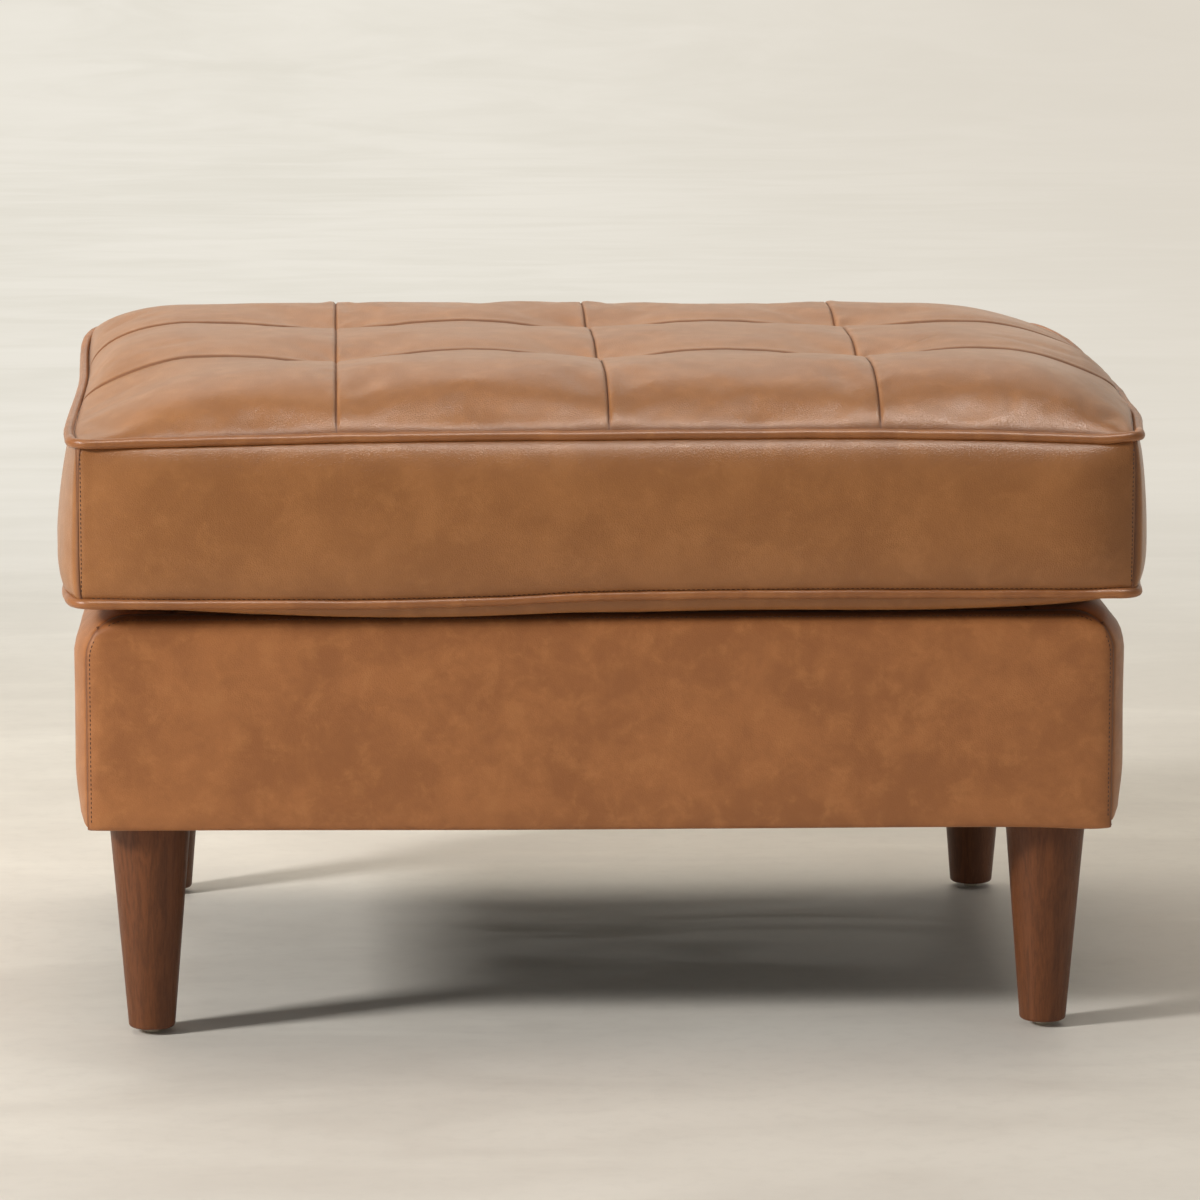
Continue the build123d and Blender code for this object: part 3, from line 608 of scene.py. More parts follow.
def crown_parts(x, y):
    """How high the crown has rolled up from its rim, and how deep its seams and tufts draw it down."""
    behind = smooth(y, 60, 190)
    left, right = ([a * (1 - behind) + b * behind for a, b in zip(*rolls)]
                   for rolls in (roll_left, roll_right))
    across = [np.where(x < 0, a, b) for a, b in zip(left, right)]
    deep = [np.where(y < 0, a, b) for a, b in zip(roll_front, roll_rear)]
    in_x = 1 - np.clip((rim_x - np.abs(x)) / across[0], 0, 1)
    in_y = 1 - np.clip((rim_y - np.abs(y)) / deep[0], 0, 1)
    power = corner_power
    out = ((in_x ** power + in_y ** power) / (1 + (in_x * in_y) ** power)) ** (1 / power)
    side_share = in_x ** 3 / (in_x ** 3 + in_y ** 3 + 1e-9)
    rise_power = across[1] * side_share + deep[1] * (1 - side_share)
    foot_power = across[2] * side_share + deep[2] * (1 - side_share)
    rolled = (1 - out ** rise_power) ** (1 / foot_power)
    in_front, behind = 1 - smooth(y, -150, -40), smooth(y, 40, 150)
    column_dip = (column_dips[0] * in_front + column_dips[1] * (1 - in_front - behind)
                  + column_dips[2] * behind)
    fall = column_dip * (1 - np.clip(from_columns(x) / column_reach, 0, 1)) ** 2
    for seam in (-cross_seam, cross_seam):
        reach = np.where(y < seam, cross_reach_front, cross_reach_rear)
        fall = fall + cross_dip * (1 - np.clip(np.abs(y - seam) / reach, 0, 1)) ** 2
    from_tuft = np.min([np.hypot(x - tx, y - ty) for tx, ty in tufts], axis=0)
    dimple = np.max([dip * bump(np.hypot((x - tx) / tuft_reach_x, (y - ty) / tuft_reach_y), 1.0)
                     for dip, (tx, ty) in zip(tuft_dips, tufts)], axis=0)
    fall = fall + dimple + tuft_nip * (1 - np.clip(from_tuft / tuft_nip_reach, 0, 1)) ** 2
    return rolled, fall, from_tuft


def crown_level(x, y):
    """Level of the crown over a place of the cushion's plan."""
    rolled, fall, _ = crown_parts(x, y)
    front, middle, rear = (curve(row, x) for row in (front_crests, middle_crests, rear_crests))
    crest = front + (middle - front) * smooth(y, -row_middle, 0) + (rear - middle) * smooth(y, 0, row_middle)
    return crown_floor + (crest - cloth_allowance - crown_floor) * rolled - fall * rolled ** 1.3


def calm(x, y):
    """How freely the leather swells: less just in front of the cross seams, where it lies flatter."""
    share = np.full_like(x, free_swell)
    for seam in (-cross_seam, cross_seam):
        share = share - calmed * smooth(y, seam - 95, seam - 20) * (1 - smooth(y, seam, seam + 22))
    return share


def crown_grid(inset, mesh, drop):
    """The crown over its whole rim, drawn in by an inset and lowered by a drop."""
    stops_x = [-rim_x, *column_seams, rim_x]
    stops_y = [-rim_y, -cross_seam, cross_seam, rim_y]
    x, y = np.meshgrid(lines(stops_x, *mesh), lines(stops_y, *mesh), indexing="ij")
    level = crown_level(x, y) - drop
    plan_x, plan_y = round_corner(x, y, rim_x, rim_y, 42.0 if inset else rim_corner)
    plan_x = plan_x * (rim_x - inset) / rim_x
    plan_y = plan_y * (rim_y - inset) / rim_y
    return x, y, np.stack([plan_x, plan_y, level], axis=-1)


def across_seam(distance, ridges):
    return sum(height * bump(distance - place, width) for height, place, width in ridges)


def top_details(x, y):
    """Small relief on the top: seam grooves with a lip on one side, pulls, puckers and a wrinkle."""
    rolled, _, from_tuft = crown_parts(x, y)
    relief = np.zeros_like(x)
    for seam in column_seams:
        relief += across_seam(x - seam, column_relief)
    for seam in (-cross_seam, cross_seam):
        relief += across_seam(y - seam, cross_relief)
    relief *= smooth(rolled, 0.0, 0.25)
    # Pulls that run from the tufts
    angle = [np.arctan2(y - ty, x - tx) for tx, ty in tufts]
    near = np.argmin([np.hypot(x - tx, y - ty) for tx, ty in tufts], axis=0)
    turn = np.choose(near, angle)
    pleat = np.sin(turn * 6 + near * 1.3) * 0.45 + np.sin(turn * 9 - near * 0.7) * 0.3
    relief += pleat * smooth(from_tuft, 4, 16) * (1 - smooth(from_tuft, 18, 46)) * pleat_height
    # Puckers above the front welt, towards the right corner
    from_front = rim_y + y
    for index, place in enumerate(pucker_places):
        lean = place + pucker_lean * (from_front - 10) * (1 if index % 2 else -0.6)
        ridge = bump(x - lean, 3.4) - 0.6 * bump(x - lean - 6, 3.2)
        relief += pucker_height * ridge * smooth(from_front, 1, 8) * (1 - smooth(from_front, 16, 34))
    # A diagonal wrinkle beside the right front tuft
    turn_x, turn_y = wrinkle_along
    along = (x - wrinkle_x) * turn_x + (y - wrinkle_y) * turn_y
    across = -(x - wrinkle_x) * turn_y + (y - wrinkle_y) * turn_x
    crease = smooth(along, -4, 12) * (1 - smooth(along, 34, 62))
    relief += crease * (1.3 * bump(across + 4.5, 4.0) - 1.8 * bump(across, 2.4))
    return relief


def leather_waves(x, y):
    """Slow unevenness of stuffed leather."""
    return 0.4 * swell(x, y, 0, 74, 5.0) + 0.16 * swell(x, y, 0, 24, 11.0)


def resampler(old, new):
    """Weights that read a row of evenly spaced values at other places, on a smooth curve."""
    step = old[1] - old[0]
    place = np.clip((new - old[0]) / step, 0, len(old) - 1 - 1e-9)
    index = place.astype(int)
    share = place - index
    cubic = ((-share ** 3 + 2 * share ** 2 - share) / 2, (3 * share ** 3 - 5 * share ** 2 + 2) / 2,
             (-3 * share ** 3 + 4 * share ** 2 + share) / 2, (share ** 3 - share ** 2) / 2)
    weights = np.zeros((len(new), len(old)))
    for offset, weight in zip((-1, 0, 1, 2), cubic):
        np.add.at(weights, (np.arange(len(new)), np.clip(index + offset, 0, len(old) - 1)), weight)
    return weights


coarse_x = np.linspace(-rim_x, rim_x, int(2 * rim_x / cloth_mesh) + 1)
coarse_y = np.linspace(-rim_y, rim_y, int(2 * rim_y / cloth_mesh) + 1)


def cloth_trial():
    """How the leather moves when cloth that is held at its rim, seams and tufts swells over its stuffing."""
    x, y = np.meshgrid(coarse_x, coarse_y, indexing="ij")
    start = np.stack([x, y, crown_level(x, y)], axis=-1)
    mesh = bpy.data.meshes.new("cloth_trial")
    mesh.from_pydata((start.reshape(-1, 3) * MM).tolist(), [], grid_faces(*x.shape).tolist())
    trial = bpy.data.objects.new("cloth_trial", mesh)
    bpy.context.scene.collection.objects.link(trial)
    on_rim = (np.abs(x) > rim_x - 1) | (np.abs(y) > rim_y - 1)
    from_tuft = crown_parts(x, y)[2]
    row = np.abs(np.abs(y) - cross_seam)
    held = np.where(on_rim | (from_tuft < cloth_mesh), 1.0, 0.0)
    held = np.maximum(held, seam_hold * (np.minimum(from_columns(x), row) < cloth_mesh * 0.6))
    group = trial.vertex_groups.new(name="held")
    for index, weight in enumerate(held.ravel()):
        if weight > 0:
            group.add([index], float(weight), "REPLACE")
    cloth = trial.modifiers.new("cloth", "CLOTH")
    cloth.settings.quality = 8
    cloth.settings.mass = 0.35
    cloth.settings.tension_stiffness = 22
    cloth.settings.compression_stiffness = 22
    cloth.settings.shear_stiffness = 9
    cloth.settings.bending_stiffness = 1.6
    cloth.settings.shrink_min = -spare_leather
    cloth.settings.use_pressure = True
    cloth.settings.uniform_pressure_force = cloth_pressure
    cloth.settings.vertex_group_mass = "held"
    cloth.settings.effector_weights.gravity = 0
    cloth.point_cache.frame_end = cloth_frames
    for step in range(1, cloth_frames + 1):
        bpy.context.scene.frame_set(step)
    moved = trial.evaluated_get(bpy.context.evaluated_depsgraph_get()).to_mesh()
    end = np.zeros(len(moved.vertices) * 3)
    moved.vertices.foreach_get("co", end)
    end = end.reshape(start.shape) / MM
    bpy.context.scene.frame_set(1)
    bpy.data.objects.remove(trial)
    shift = end - start
    length = np.linalg.norm(shift, axis=-1, keepdims=True)
    return shift * cloth_cap * np.tanh(length / cloth_cap) / np.maximum(length, 1e-6)


cloth_shift = cloth_trial()


def stuffed(x, y, points):
    """Moves the crown's points as the trial and the worn cushion do. The welts' lift fades up the crown."""
    across, deep = resampler(coarse_x, x[:, 0]), resampler(coarse_y, y[0])
    shift = np.einsum("ai,bj,ijk->abk", across, deep, cloth_shift) * calm(x, y)[..., None]
    rolled = crown_parts(x, y)[0]
    points = points + shift * smooth(rolled, 0.0, 0.12)[..., None]
    return settle(points, 1 - 0.85 * smooth(rolled, 0.1, 1.0))


x, y, top_points = crown_grid(0.0, top_mesh, 0.0)
top_points[..., 2] += top_details(x, y) + leather_waves(x, y) * smooth(crown_parts(x, y)[0], 0.1, 0.7)
top = piece("tufted_top", stuffed(x, y, top_points), grid_faces(*x.shape), cushion_leather,
            (0, 0, crown_floor - 200), leather)
column_line = bump(from_columns(x), 0.65)
cross_line = np.max([np.maximum(bump(y - seam, 0.7), 0.85 * bump(y - seam - 1.5, 1.0))
                     for seam in (-cross_seam, cross_seam)], axis=0)
from_rim = np.minimum(rim_x - np.abs(x), rim_y - np.abs(y))
mark(top, "seam", np.max([column_line, cross_line, 0.5 * bump(from_rim, 1.8)], axis=0).ravel())
finish_piece(top, "cushion", "top_cover")


def filled_crown(name, inset, drop, material):
    """The stuffing under the top: the crown's own shape, closed by a flat floor."""
    x, y, points = crown_grid(inset, wadding_mesh, drop)
    points = stuffed(x, y, points)
    floor = points.copy()
    floor[..., 2] = crown_floor + soft_gap
    points[..., 2] = np.maximum(points[..., 2], floor[..., 2] + 0.05)
    rows, columns = x.shape
    faces = grid_faces(rows, columns)
    edge = ([(i, 0) for i in range(rows)] + [(rows - 1, j) for j in range(1, columns)]
            + [(i, columns - 1) for i in range(rows - 2, -1, -1)]
            + [(0, j) for j in range(columns - 2, 0, -1)])
    ring = [i * columns + j for i, j in edge]
    count = rows * columns
    wall = [(ring[k], ring[(k + 1) % len(ring)], ring[(k + 1) % len(ring)] + count, ring[k] + count)
            for k in range(len(ring))]
    all_faces = [tuple(f) for f in faces] + [tuple(f + count) for f in faces] + wall
    return piece(name, np.concatenate([points.reshape(-1, 3), floor.reshape(-1, 3)]), all_faces, material)


wadding = filled_crown("crown_wadding", 7.0, leather + soft_gap + 1.6, fibre_fill)
finish_piece(wadding, "cushion", "fibre_wadding")


# Boxing


def bulge_along(share):
    """Fullness along a boxing panel, from 0 at its corner seam to 1 at its middle."""
    return np.sqrt(np.clip(1 - (1 - np.clip(share, 0, 1)) ** bulge_rise, 0, 1))


def bulge_up(share):
    """Fullness up a boxing panel, 0 at both welts."""
    return np.clip(1 - np.abs(2 * share - 1) ** bulge_power, 0, 1) ** (1 / bulge_power)


boxing_low, boxing_high = low_welt + 1.6, top_welt - 1.6


def at_corner(from_corner, fullness):
    """The groove at a corner seam and the low ridge beside it."""
    return -1.3 * bump(from_corner, 1.6) + 0.5 * bump(from_corner - 5, 3.0) * fullness


def front_place(along, up):
    """Places on the front band, given along it and as a share of its height."""
    from_corner = seam_x - np.abs(along)
    middle_share = 1 - (np.abs(along) / seam_x) ** 2
    end_bulge, reach = (np.where(along < 0, a, b) for a, b in zip(end_round_left, end_round_right))
    end_round = 1 - (1 - np.clip(from_corner / reach, 0, 1)) ** 2.2
    bulge = end_bulge * end_round + (front_bulge - end_bulge) * middle_share
    out = -seam_tuck + (seam_tuck + bulge) * bulge_up(up)
    out = out + at_corner(from_corner, bulge_up(up))
    z = boxing_low + (boxing_high - boxing_low) * up
    ripple = 0.55 * swell(along, z, 0, 70, 1.0) + 0.2 * swell(along, z, 0, 22, 8.0)
    y = -(seam_y + out + ripple * bulge_up(up) * smooth(from_corner, 2, 30))
    return settle(np.stack(np.broadcast_arrays(along, y, z), axis=-1))


def side_place(along, up, sign):
    """Places on a side band. Its fullness makes up for what the rim's bow doesn't give."""
    bow = curve(left_bow if sign < 0 else right_bow, along)
    share = bulge_along((seam_y - np.abs(along)) / seam_y)
    full, low = ((a if sign < 0 else b) for a, b in (side_bulge, low_fullness))
    bulge = np.minimum(np.maximum(full * share - bow, 4.0 * share), 1.5 * full * share)
    bulge = bulge + low * share * (1 - np.clip(up, 0, 1)) ** 1.8
    from_corner = seam_y - np.abs(along)
    fullness = bulge_up(np.clip(up, 0, 1) ** 0.78)
    out = -seam_tuck + (seam_tuck + bulge) * fullness + at_corner(from_corner, fullness)
    z = boxing_low + (boxing_high - boxing_low) * up
    ripple = 0.55 * swell(along, z, 0, 66, 21.0 + sign) + 0.2 * swell(along, z, 0, 24, 28.0)
    x = sign * (seam_x + out + ripple * bulge_up(up) * smooth(from_corner, 2, 30))
    return settle(np.stack(np.broadcast_arrays(x, along, z), axis=-1))


def boxing_piece(name, place, half, node):
    """One panel of the cushion's sides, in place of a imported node."""
    along, up = np.meshgrid(lines([-half, half], 0.8, 7.0), lines([0.0, 1.0], 0.01, 0.045, 1.5),
                            indexing="ij")
    made = piece(name, place(along, up), grid_faces(*along.shape), cushion_leather,
                 (0, 0, (low_welt + top_welt) / 2), leather)
    from_end = half - np.abs(along)
    near_welt = np.minimum(up, 1 - up) * (boxing_high - boxing_low)
    mark(made, "seam", np.maximum(bump(from_end, 1.5), 0.6 * bump(near_welt, 2.6)).ravel())
    finish_piece(made, "cushion", node)


boxing_piece("front_band", front_place, seam_x, "front_boxing")
boxing_piece("left_band", lambda along, up: side_place(along, up, -1), seam_y, "left_boxing")
boxing_piece("right_band", lambda along, up: side_place(along, up, 1), seam_y, "right_boxing")

# The rear band is split for the zip, and both halves turn in at the slot
upper_low, upper_high = box_mm("rear_boxing_upper")
lower_high = box_mm("rear_boxing_lower")[1]
zip_level = (upper_low[2] + lower_high[2]) / 2
slot_half = (upper_low[2] - lower_high[2]) / 2
rear_face = upper_high[1]
teeth_low, teeth_high = box_mm("zip_teeth")
zip_flat = teeth_high[0]


def rear_out(along, level):
    """How far the rear band stands out: straight behind the zip, and falling to the corner seams."""
    over = np.clip((np.abs(along) - zip_flat) / (seam_x - zip_flat), 0, 1)
    flat = (rear_face - seam_y) * (1 - over ** 2)
    from_slot = np.abs(level - zip_level) - slot_half
    to_welt = (boxing_high - boxing_low) / 2 - slot_half
    share = np.clip((from_slot - slot_flat) / (to_welt - slot_flat), 0, 1)
    return flat * (1 - share ** 2.4) - seam_tuck * share ** 2.4


def rear_place(along, up, side):
    """Places on the upper or lower half of the rear band, from the slot to the welt."""
    start = zip_level + side * slot_half
    end = boxing_high if side > 0 else boxing_low
    level = start + (end - start) * up
    from_corner = seam_x - np.abs(along)
    out = rear_out(along, level) - 1.2 * bump(from_corner, 1.6)
    ripple = 0.4 * swell(along, level, 0, 60, 33.0 + side) * smooth(np.abs(level - zip_level), 16, 30)
    y = seam_y + out + ripple * smooth(from_corner, 2, 30)
    points = np.stack(np.broadcast_arrays(along, y, level), axis=-1)
    settled = settle(points)
    keep = smooth(np.abs(level - zip_level), slot_half + 8, slot_half + 26)
    settled[..., 2] = points[..., 2] * (1 - keep) + settled[..., 2] * keep
    return settled


boxing_piece("rear_band_upper", lambda along, up: rear_place(along, up, 1), seam_x, "rear_boxing_upper")
boxing_piece("rear_band_lower", lambda along, up: rear_place(along, up, -1), seam_x, "rear_boxing_lower")


# Welts


flange_depth, half_flange = 6.4, 0.75
cord_radius = 2.0
tube_points = 19


def welt(name, level, node, seed):
    """A leather tube with its sewn flange, carried round the cushion's rim."""
    ring = rounded_path(welt_x, welt_y, welt_corner, 5.0)
    path = settle(np.column_stack([ring, np.full(len(ring), level)]))
    path[:, 2] += 0.25 * swell(ring[:, 0], ring[:, 1], level, 30, seed)
    start = np.arcsin(half_flange / welt_radius)
    angles = np.linspace(pi + start, 3 * pi - start, tube_points)
    tube = np.column_stack([np.cos(angles), np.sin(angles)]) * welt_radius
    flange = np.array([[-flange_depth, half_flange], [-flange_depth, -half_flange]])
    section = np.repeat(np.concatenate([tube, flange])[None], len(ring), axis=0)
    swollen = 1 + 0.035 * swell(ring[:, 0], ring[:, 1], 0, 9, seed + 3)
    for join_x in (-welt_x, welt_x):
        away = np.hypot(ring[:, 0] - join_x, ring[:, 1] + welt_y - 16)
        swollen += 0.11 * (1 - smooth(away, 5, 7.5))
    section[:, :tube_points] *= swollen[:, None, None]
    made = sweep(name, path, section, piping_leather)
    mark(made, "seam", np.zeros(len(made.data.vertices)))
    finish_piece(made, "cushion", node)


def welt_cord(name, level):
    """The filler cord inside a welt."""
    ring = rounded_path(welt_x, welt_y, welt_corner, 8.0, 6)
    path = settle(np.column_stack([ring, np.full(len(ring), level)]))
    angles = np.linspace(0, 2 * pi, 10, endpoint=False)
    section = np.column_stack([np.cos(angles), np.sin(angles)]) * cord_radius
    finish_piece(sweep(name, path, section, cotton_cord), "cushion", "piping_cords")


welt("top_welt", top_welt, "top_piping", 41.0)
welt("bottom_welt", low_welt, "bottom_piping", 47.0)
welt_cord("top_welt_cord", top_welt)
welt_cord("bottom_welt_cord", low_welt)


# Underside


def underside():
    """The underside's grid: it hangs low in front of the base and rests on the deck."""
    fine, coarse = underside_mesh
    x, y = np.meshgrid(lines([-rim_x, 0, rim_x], 1.2, coarse),
                       lines([-rim_y, 8.5 - seam_y, 0, rim_y], fine, coarse), indexing="ij")
    reach = np.where(y < 0, 8.0, 45.0)
    in_x = 1 - np.clip((rim_x - np.abs(x)) / 70.0, 0, 1)
    in_y = 1 - np.clip((rim_y - np.abs(y)) / reach, 0, 1)
    out = ((in_x ** 3 + in_y ** 3) / (1 + (in_x * in_y) ** 3)) ** (1 / 3)
    rolled = (1 - out ** 2) ** 0.5
    ceiling = low_welt - half_flange
    edge = curve(belly_edge, x)
    hang = np.minimum(edge, belly_floor) - belly_floor
    hang = hang * (1 - smooth(y, base_low[1] - 2.2, base_low[1] - 0.25))
    raised = np.maximum(edge - belly_floor, 0) * (1 - smooth(y, -rim_y, -rim_y + 75))
    target = belly_floor + hang + raised
    level = ceiling + (target - ceiling) * rolled
    plan_x, plan_y = round_corner(x, y, rim_x, rim_y, rim_corner)
    return settle(np.stack([plan_x, plan_y, level], axis=-1), 1 - rolled)


belly = underside()
under = piece("sagging_underside", belly, grid_faces(*belly.shape[:2]), cushion_leather,
              (0, 0, top_welt), leather)
mark(under, "seam", np.zeros(belly.size // 3))
finish_piece(under, "cushion", "bottom_cover")


# Foam block of the cushion


def foam_block():
    """The foam inside the boxing, bulged like it, with the underside's sag below."""
    inset, foot = 7.0, low_welt - half_flange
    ring = rounded_path(seam_x - inset, seam_y - inset, 14.0, 16.0, 4)
    layers = []
    for share in np.linspace(0, 1, 15):
        up = 0.02 + 0.96 * share
        out_x = bulge_along((seam_y - np.abs(ring[:, 1])) / seam_y) * min(side_bulge) * 0.72
        out_y = bulge_along((seam_x - np.abs(ring[:, 0])) / seam_x)
        out_y = out_y * np.where(ring[:, 1] < 0, front_bulge, rear_bulge) * 0.8
        on_side = np.abs(ring[:, 0]) > seam_x - inset - 1
        x = ring[:, 0] + np.where(on_side, np.sign(ring[:, 0]) * out_x * bulge_up(up), 0)
        y = ring[:, 1] + np.where(on_side, 0, np.sign(ring[:, 1]) * out_y * bulge_up(up))
        corner = (smooth(np.abs(ring[:, 0]), seam_x - 50, seam_x - inset - 2)
                  * smooth(np.abs(ring[:, 1]), seam_y - 50, seam_y - inset - 2))
        eased = (3 + 12 * corner) * smooth(share, 0.75, 1.0)
        x, y = x - np.sign(x) * eased, y - np.sign(y) * eased
        z = np.full(len(ring), foot + (crown_floor - 0.2 - foot) * share)
        layers.append(np.column_stack([x, y, z]))
    sag = [layers[0] * (scale, scale, 1.0) - (0.0, 0.0, drop)
           for scale, drop in ((0.45, 9.6), (0.7, 9.4), (0.84, 7.4), (0.93, 4.0))]
    grid = np.stack(sag + layers)
    made = piece("foam_block", grid, capped_faces(*grid.shape[:2]), seat_foam)
    finish_piece(made, "cushion", "foam_core")


foam_block()


# Stitches


# Pitch, length and radius of the stitches in each row
corner_stitch, welt_stitch, base_stitch = (3.1, 2.0, 0.36), (3.4, 2.2, 0.34), (3.2, 2.1, 0.36)

# Rings of one stitch: share of its length, share of its radius and how far it stands out
stitch_rings = ((0.0, 0.35, -0.6), (0.15, 0.8, 0.0), (0.5, 1.0, 0.25), (0.85, 0.8, 0.0), (1.0, 0.35, -0.6))


def stitch(start, end, radius, out):
    """One short thread lying on the leather, sunk at both ends."""
    along = end - start
    length = np.linalg.norm(along)
    along = along / length
    out = out / np.linalg.norm(out)
    side = np.cross(along, out)
    rings = []
    for share, size, rise in stitch_rings:
        centre = start + along * length * share + out * radius * rise
        rings.append([centre + radius * size * (cos(a) * out + sin(a) * side)
                      for a in np.linspace(0, 2 * pi, 6, endpoint=False)])
    return np.array(rings).reshape(-1, 3), capped_faces(len(rings), 6)


def stitch_line(path, out, pitch, length, radius):
    """Stitches at an even pitch along a path on a face that looks outwards."""
    steps = np.linalg.norm(np.diff(path, axis=0), axis=1)
    run = np.concatenate([[0], np.cumsum(steps)])
    parts = []
    for start in np.arange(pitch / 2, run[-1] - length, pitch):
        ends = [np.array([np.interp(s, run, path[:, k]) for k in range(3)]) for s in (start, start + length)]
        parts.append(stitch(ends[0], ends[1], radius, np.array(out)))
    return parts


def corner_stitches():
    """Stitches beside the four corner seams."""
    parts = []
    for sign in (-1, 1):
        along = np.full(60, sign * (seam_x - 2.6))
        front = front_place(along, np.linspace(0.045, 0.955, 60))
        rear = np.concatenate([rear_place(along[:30], np.linspace(0.95, 0.1, 30), -1),
                               rear_place(along[:30], np.linspace(0.1, 0.95, 30), 1)])
        for path, out in ((front, -1.0), (rear, 1.0)):
            parts += stitch_line(path, (0.15 * sign, out, 0.0), *corner_stitch)
    return parts


def welt_stitches():
    """The row of stitches that shows just above the bottom welt on the front."""
    along = np.linspace(8 - seam_x, seam_x - 8, 160)
    path = front_place(along, np.full(160, 0.02))
    return stitch_line(path, (0.0, -1.0, -0.25), *welt_stitch)


cushion_thread = join_meshes("cushion_stitches", corner_stitches() + welt_stitches(), dark_thread)
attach(cushion_thread, "cushion")


# Zip in the rear band

split_half = 0.7
tape_wall = 0.8
teeth_face = teeth_high[1]
tape_face = teeth_low[1]
tape_low, tape_high = box_mm("zip_tapes")


def zip_tape(name, side):
    """A woven tape behind one side of the slot, carried round to the corner seams."""
    width = tape_high[2] - zip_level - split_half
    along, up = np.meshgrid(lines([-tape_high[0], tape_high[0]], 2.0, 8.0), np.linspace(0, 1, 9),
                            indexing="ij")
    level = zip_level + side * (split_half + width * up)
    over = np.clip((np.abs(along) - zip_flat) / (tape_high[0] - zip_flat), 0, 1)
    y = tape_face - (tape_face - tape_low[1] - tape_wall) * over ** 2
    points = np.stack([along + side_bow(along, y), y, level], axis=-1)
    made = piece(name, points, grid_faces(*along.shape), zip_cloth, (0, 0, zip_level), tape_wall)
    finish_piece(made, "cushion", "zip_tapes")
    width * MM


zip_tape("zip_tape_upper", 1)
zip_tape("zip_tape_lower", -1)


def tooth(x, side):
    """One coil loop of the zip, as a rounded block that reaches over the split."""
    half, depth, reach = 0.62, (teeth_face - tape_face) / 2, (teeth_high[2] - zip_level) / 2
    middle = np.array([x, tape_face + depth, zip_level + side * reach])
    rings = [[middle + np.array([half * size * cos(a), depth * size * sin(a), side * reach * share])
              for a in np.linspace(pi / 8, 2 * pi + pi / 8, 8, endpoint=False)]
             for share, size in ((-1.0, 0.55), (-0.72, 0.95), (0.0, 1.0), (0.72, 0.95), (1.0, 0.55))]
    return np.array(rings).reshape(-1, 3), capped_faces(len(rings), 8)


tooth_pitch = 1.45
tooth_count = int(2 * zip_flat / tooth_pitch)
teeth = [tooth(-zip_flat + (index + 0.5) * tooth_pitch, 1 if index % 2 else -1)
         for index in range(tooth_count)]
finish_piece(join_meshes("zip_coil", teeth, zip_brass), "cushion", "zip_teeth")


# Base cover

base_half_x = (base_high[0] - base_low[0]) / 2
base_half_y = base_high[1]
base_floor, base_roof = base_low[2], base_high[2]
base_height = base_roof - base_floor
base_middle = (base_mid_x, 0, base_floor + base_height / 2)
edge_round = 12.0
seam_setback = 3.0
top_roll = 8.0
top_setback = 0.8
hem_fold = 3.2

# A side panel's fullness in the middle and at its foot, and how it rounds into the shoulder: left and right
panel_full, panel_low, panel_shoulder = (9.4, 11.6), (5.2, 8.0), (0.8, 0.4)

# How far the bottom edge of the front face lies below its level, by places along it
bottom_edge = ((-352, -230, -60, 120, 290, 335, 352), (0.2, -0.2, -1.2, -1.3, -1.7, -3.4, -3.0))


def setback(topness):
    """How far a front or rear seam lies behind the face: more along the top than down the sides."""
    return seam_setback + top_roll * smooth(topness, 0.35, 1.0)


def end_panel(name, sign, node):
    """The front or rear leather face, with rounded top corners, and its hem turned in underneath."""
    x, z = np.meshgrid(lines([-base_half_x, base_half_x], 0.9, 7.0), lines([0.0, base_height], 0.9, 6.0),
                       indexing="ij")
    plan_x, plan_z = round_corner(x, z, base_half_x, base_height, base_corner)
    from_side = base_half_x - np.abs(x)
    from_top = base_height - z
    from_edge = np.minimum(from_side, from_top)
    puff = 1.8 * (1 - (1 - np.clip(from_edge / 34, 0, 1)) ** 2.2)
    puff += 0.6 * swell(x, z, 0, 80, 60.0 + sign) * smooth(from_edge, 4, 40)
    turned = np.clip(1 - from_edge / edge_round, 0, 1)
    topness = from_side / np.hypot(from_side, np.maximum(from_top, 0) + 1e-6)
    puff = puff * smooth(z, 0, 12) * smooth(from_top, 4, 44)
    puff = puff - setback(topness) * (1 - np.sqrt(1 - turned ** 2)) - 0.7 * bump(from_edge, 1.2)
    fold = hem_fold * (1 - np.clip(z / hem_fold, 0, 1)) ** 2
    y = base_half_y + puff - fold * 0.5
    plan_z = plan_z * (base_height - top_setback) / base_height
    sag = curve(bottom_edge, x * (1 if sign < 0 else -1)) * (1 - smooth(z, 0, 22))
    face = np.stack([plan_x, sign * y, base_floor + plan_z + sag], axis=-1)
    hem = []
    for inward in (26.0, 14.0, 7.0, 3.0, 1.2):
        rows = face[:, 0, :].copy()
        if inward > 10:
            rows[:, 0] = np.clip(rows[:, 0], base_hem - base_half_x, base_half_x - base_hem)
        rows[:, 1] -= sign * inward
        rise = smooth(inward, 2.0, 12.0)
        rows[:, 2] = rows[:, 2] * (1 - rise) + base_floor * rise - 0.5 * (1 - rise)
        hem.append(rows)
    grid = np.concatenate([np.stack(hem, axis=1), face], axis=1)
    grid[..., 0] += base_mid_x
    made = piece(name, grid, grid_faces(*grid.shape[:2]), base_leather, base_middle, leather)
    x, y, z = places_of(made)
    corner_x = np.abs(x - base_mid_x) - (base_half_x - base_corner)
    corner_z = z - (base_roof - base_corner)
    round_edge = base_corner - np.hypot(np.maximum(corner_x, 0), np.maximum(corner_z, 0))
    straight = np.minimum(base_half_x - np.abs(x - base_mid_x), base_roof - z)
    mark(made, "seam", bump(np.where((corner_x > 0) & (corner_z > 0), round_edge, straight), 1.5))
    # Painted shadow: marks the front face's top edge, under the cushion's overhang, for darkening
    mark(made, "overhang_shadow", (y < 0) * smooth(z, base_roof - 7.5, base_roof - 3.0))
    finish_piece(made, "base", node)


end_panel("base_front", -1, "front_panel")
end_panel("base_rear", 1, "rear_panel")


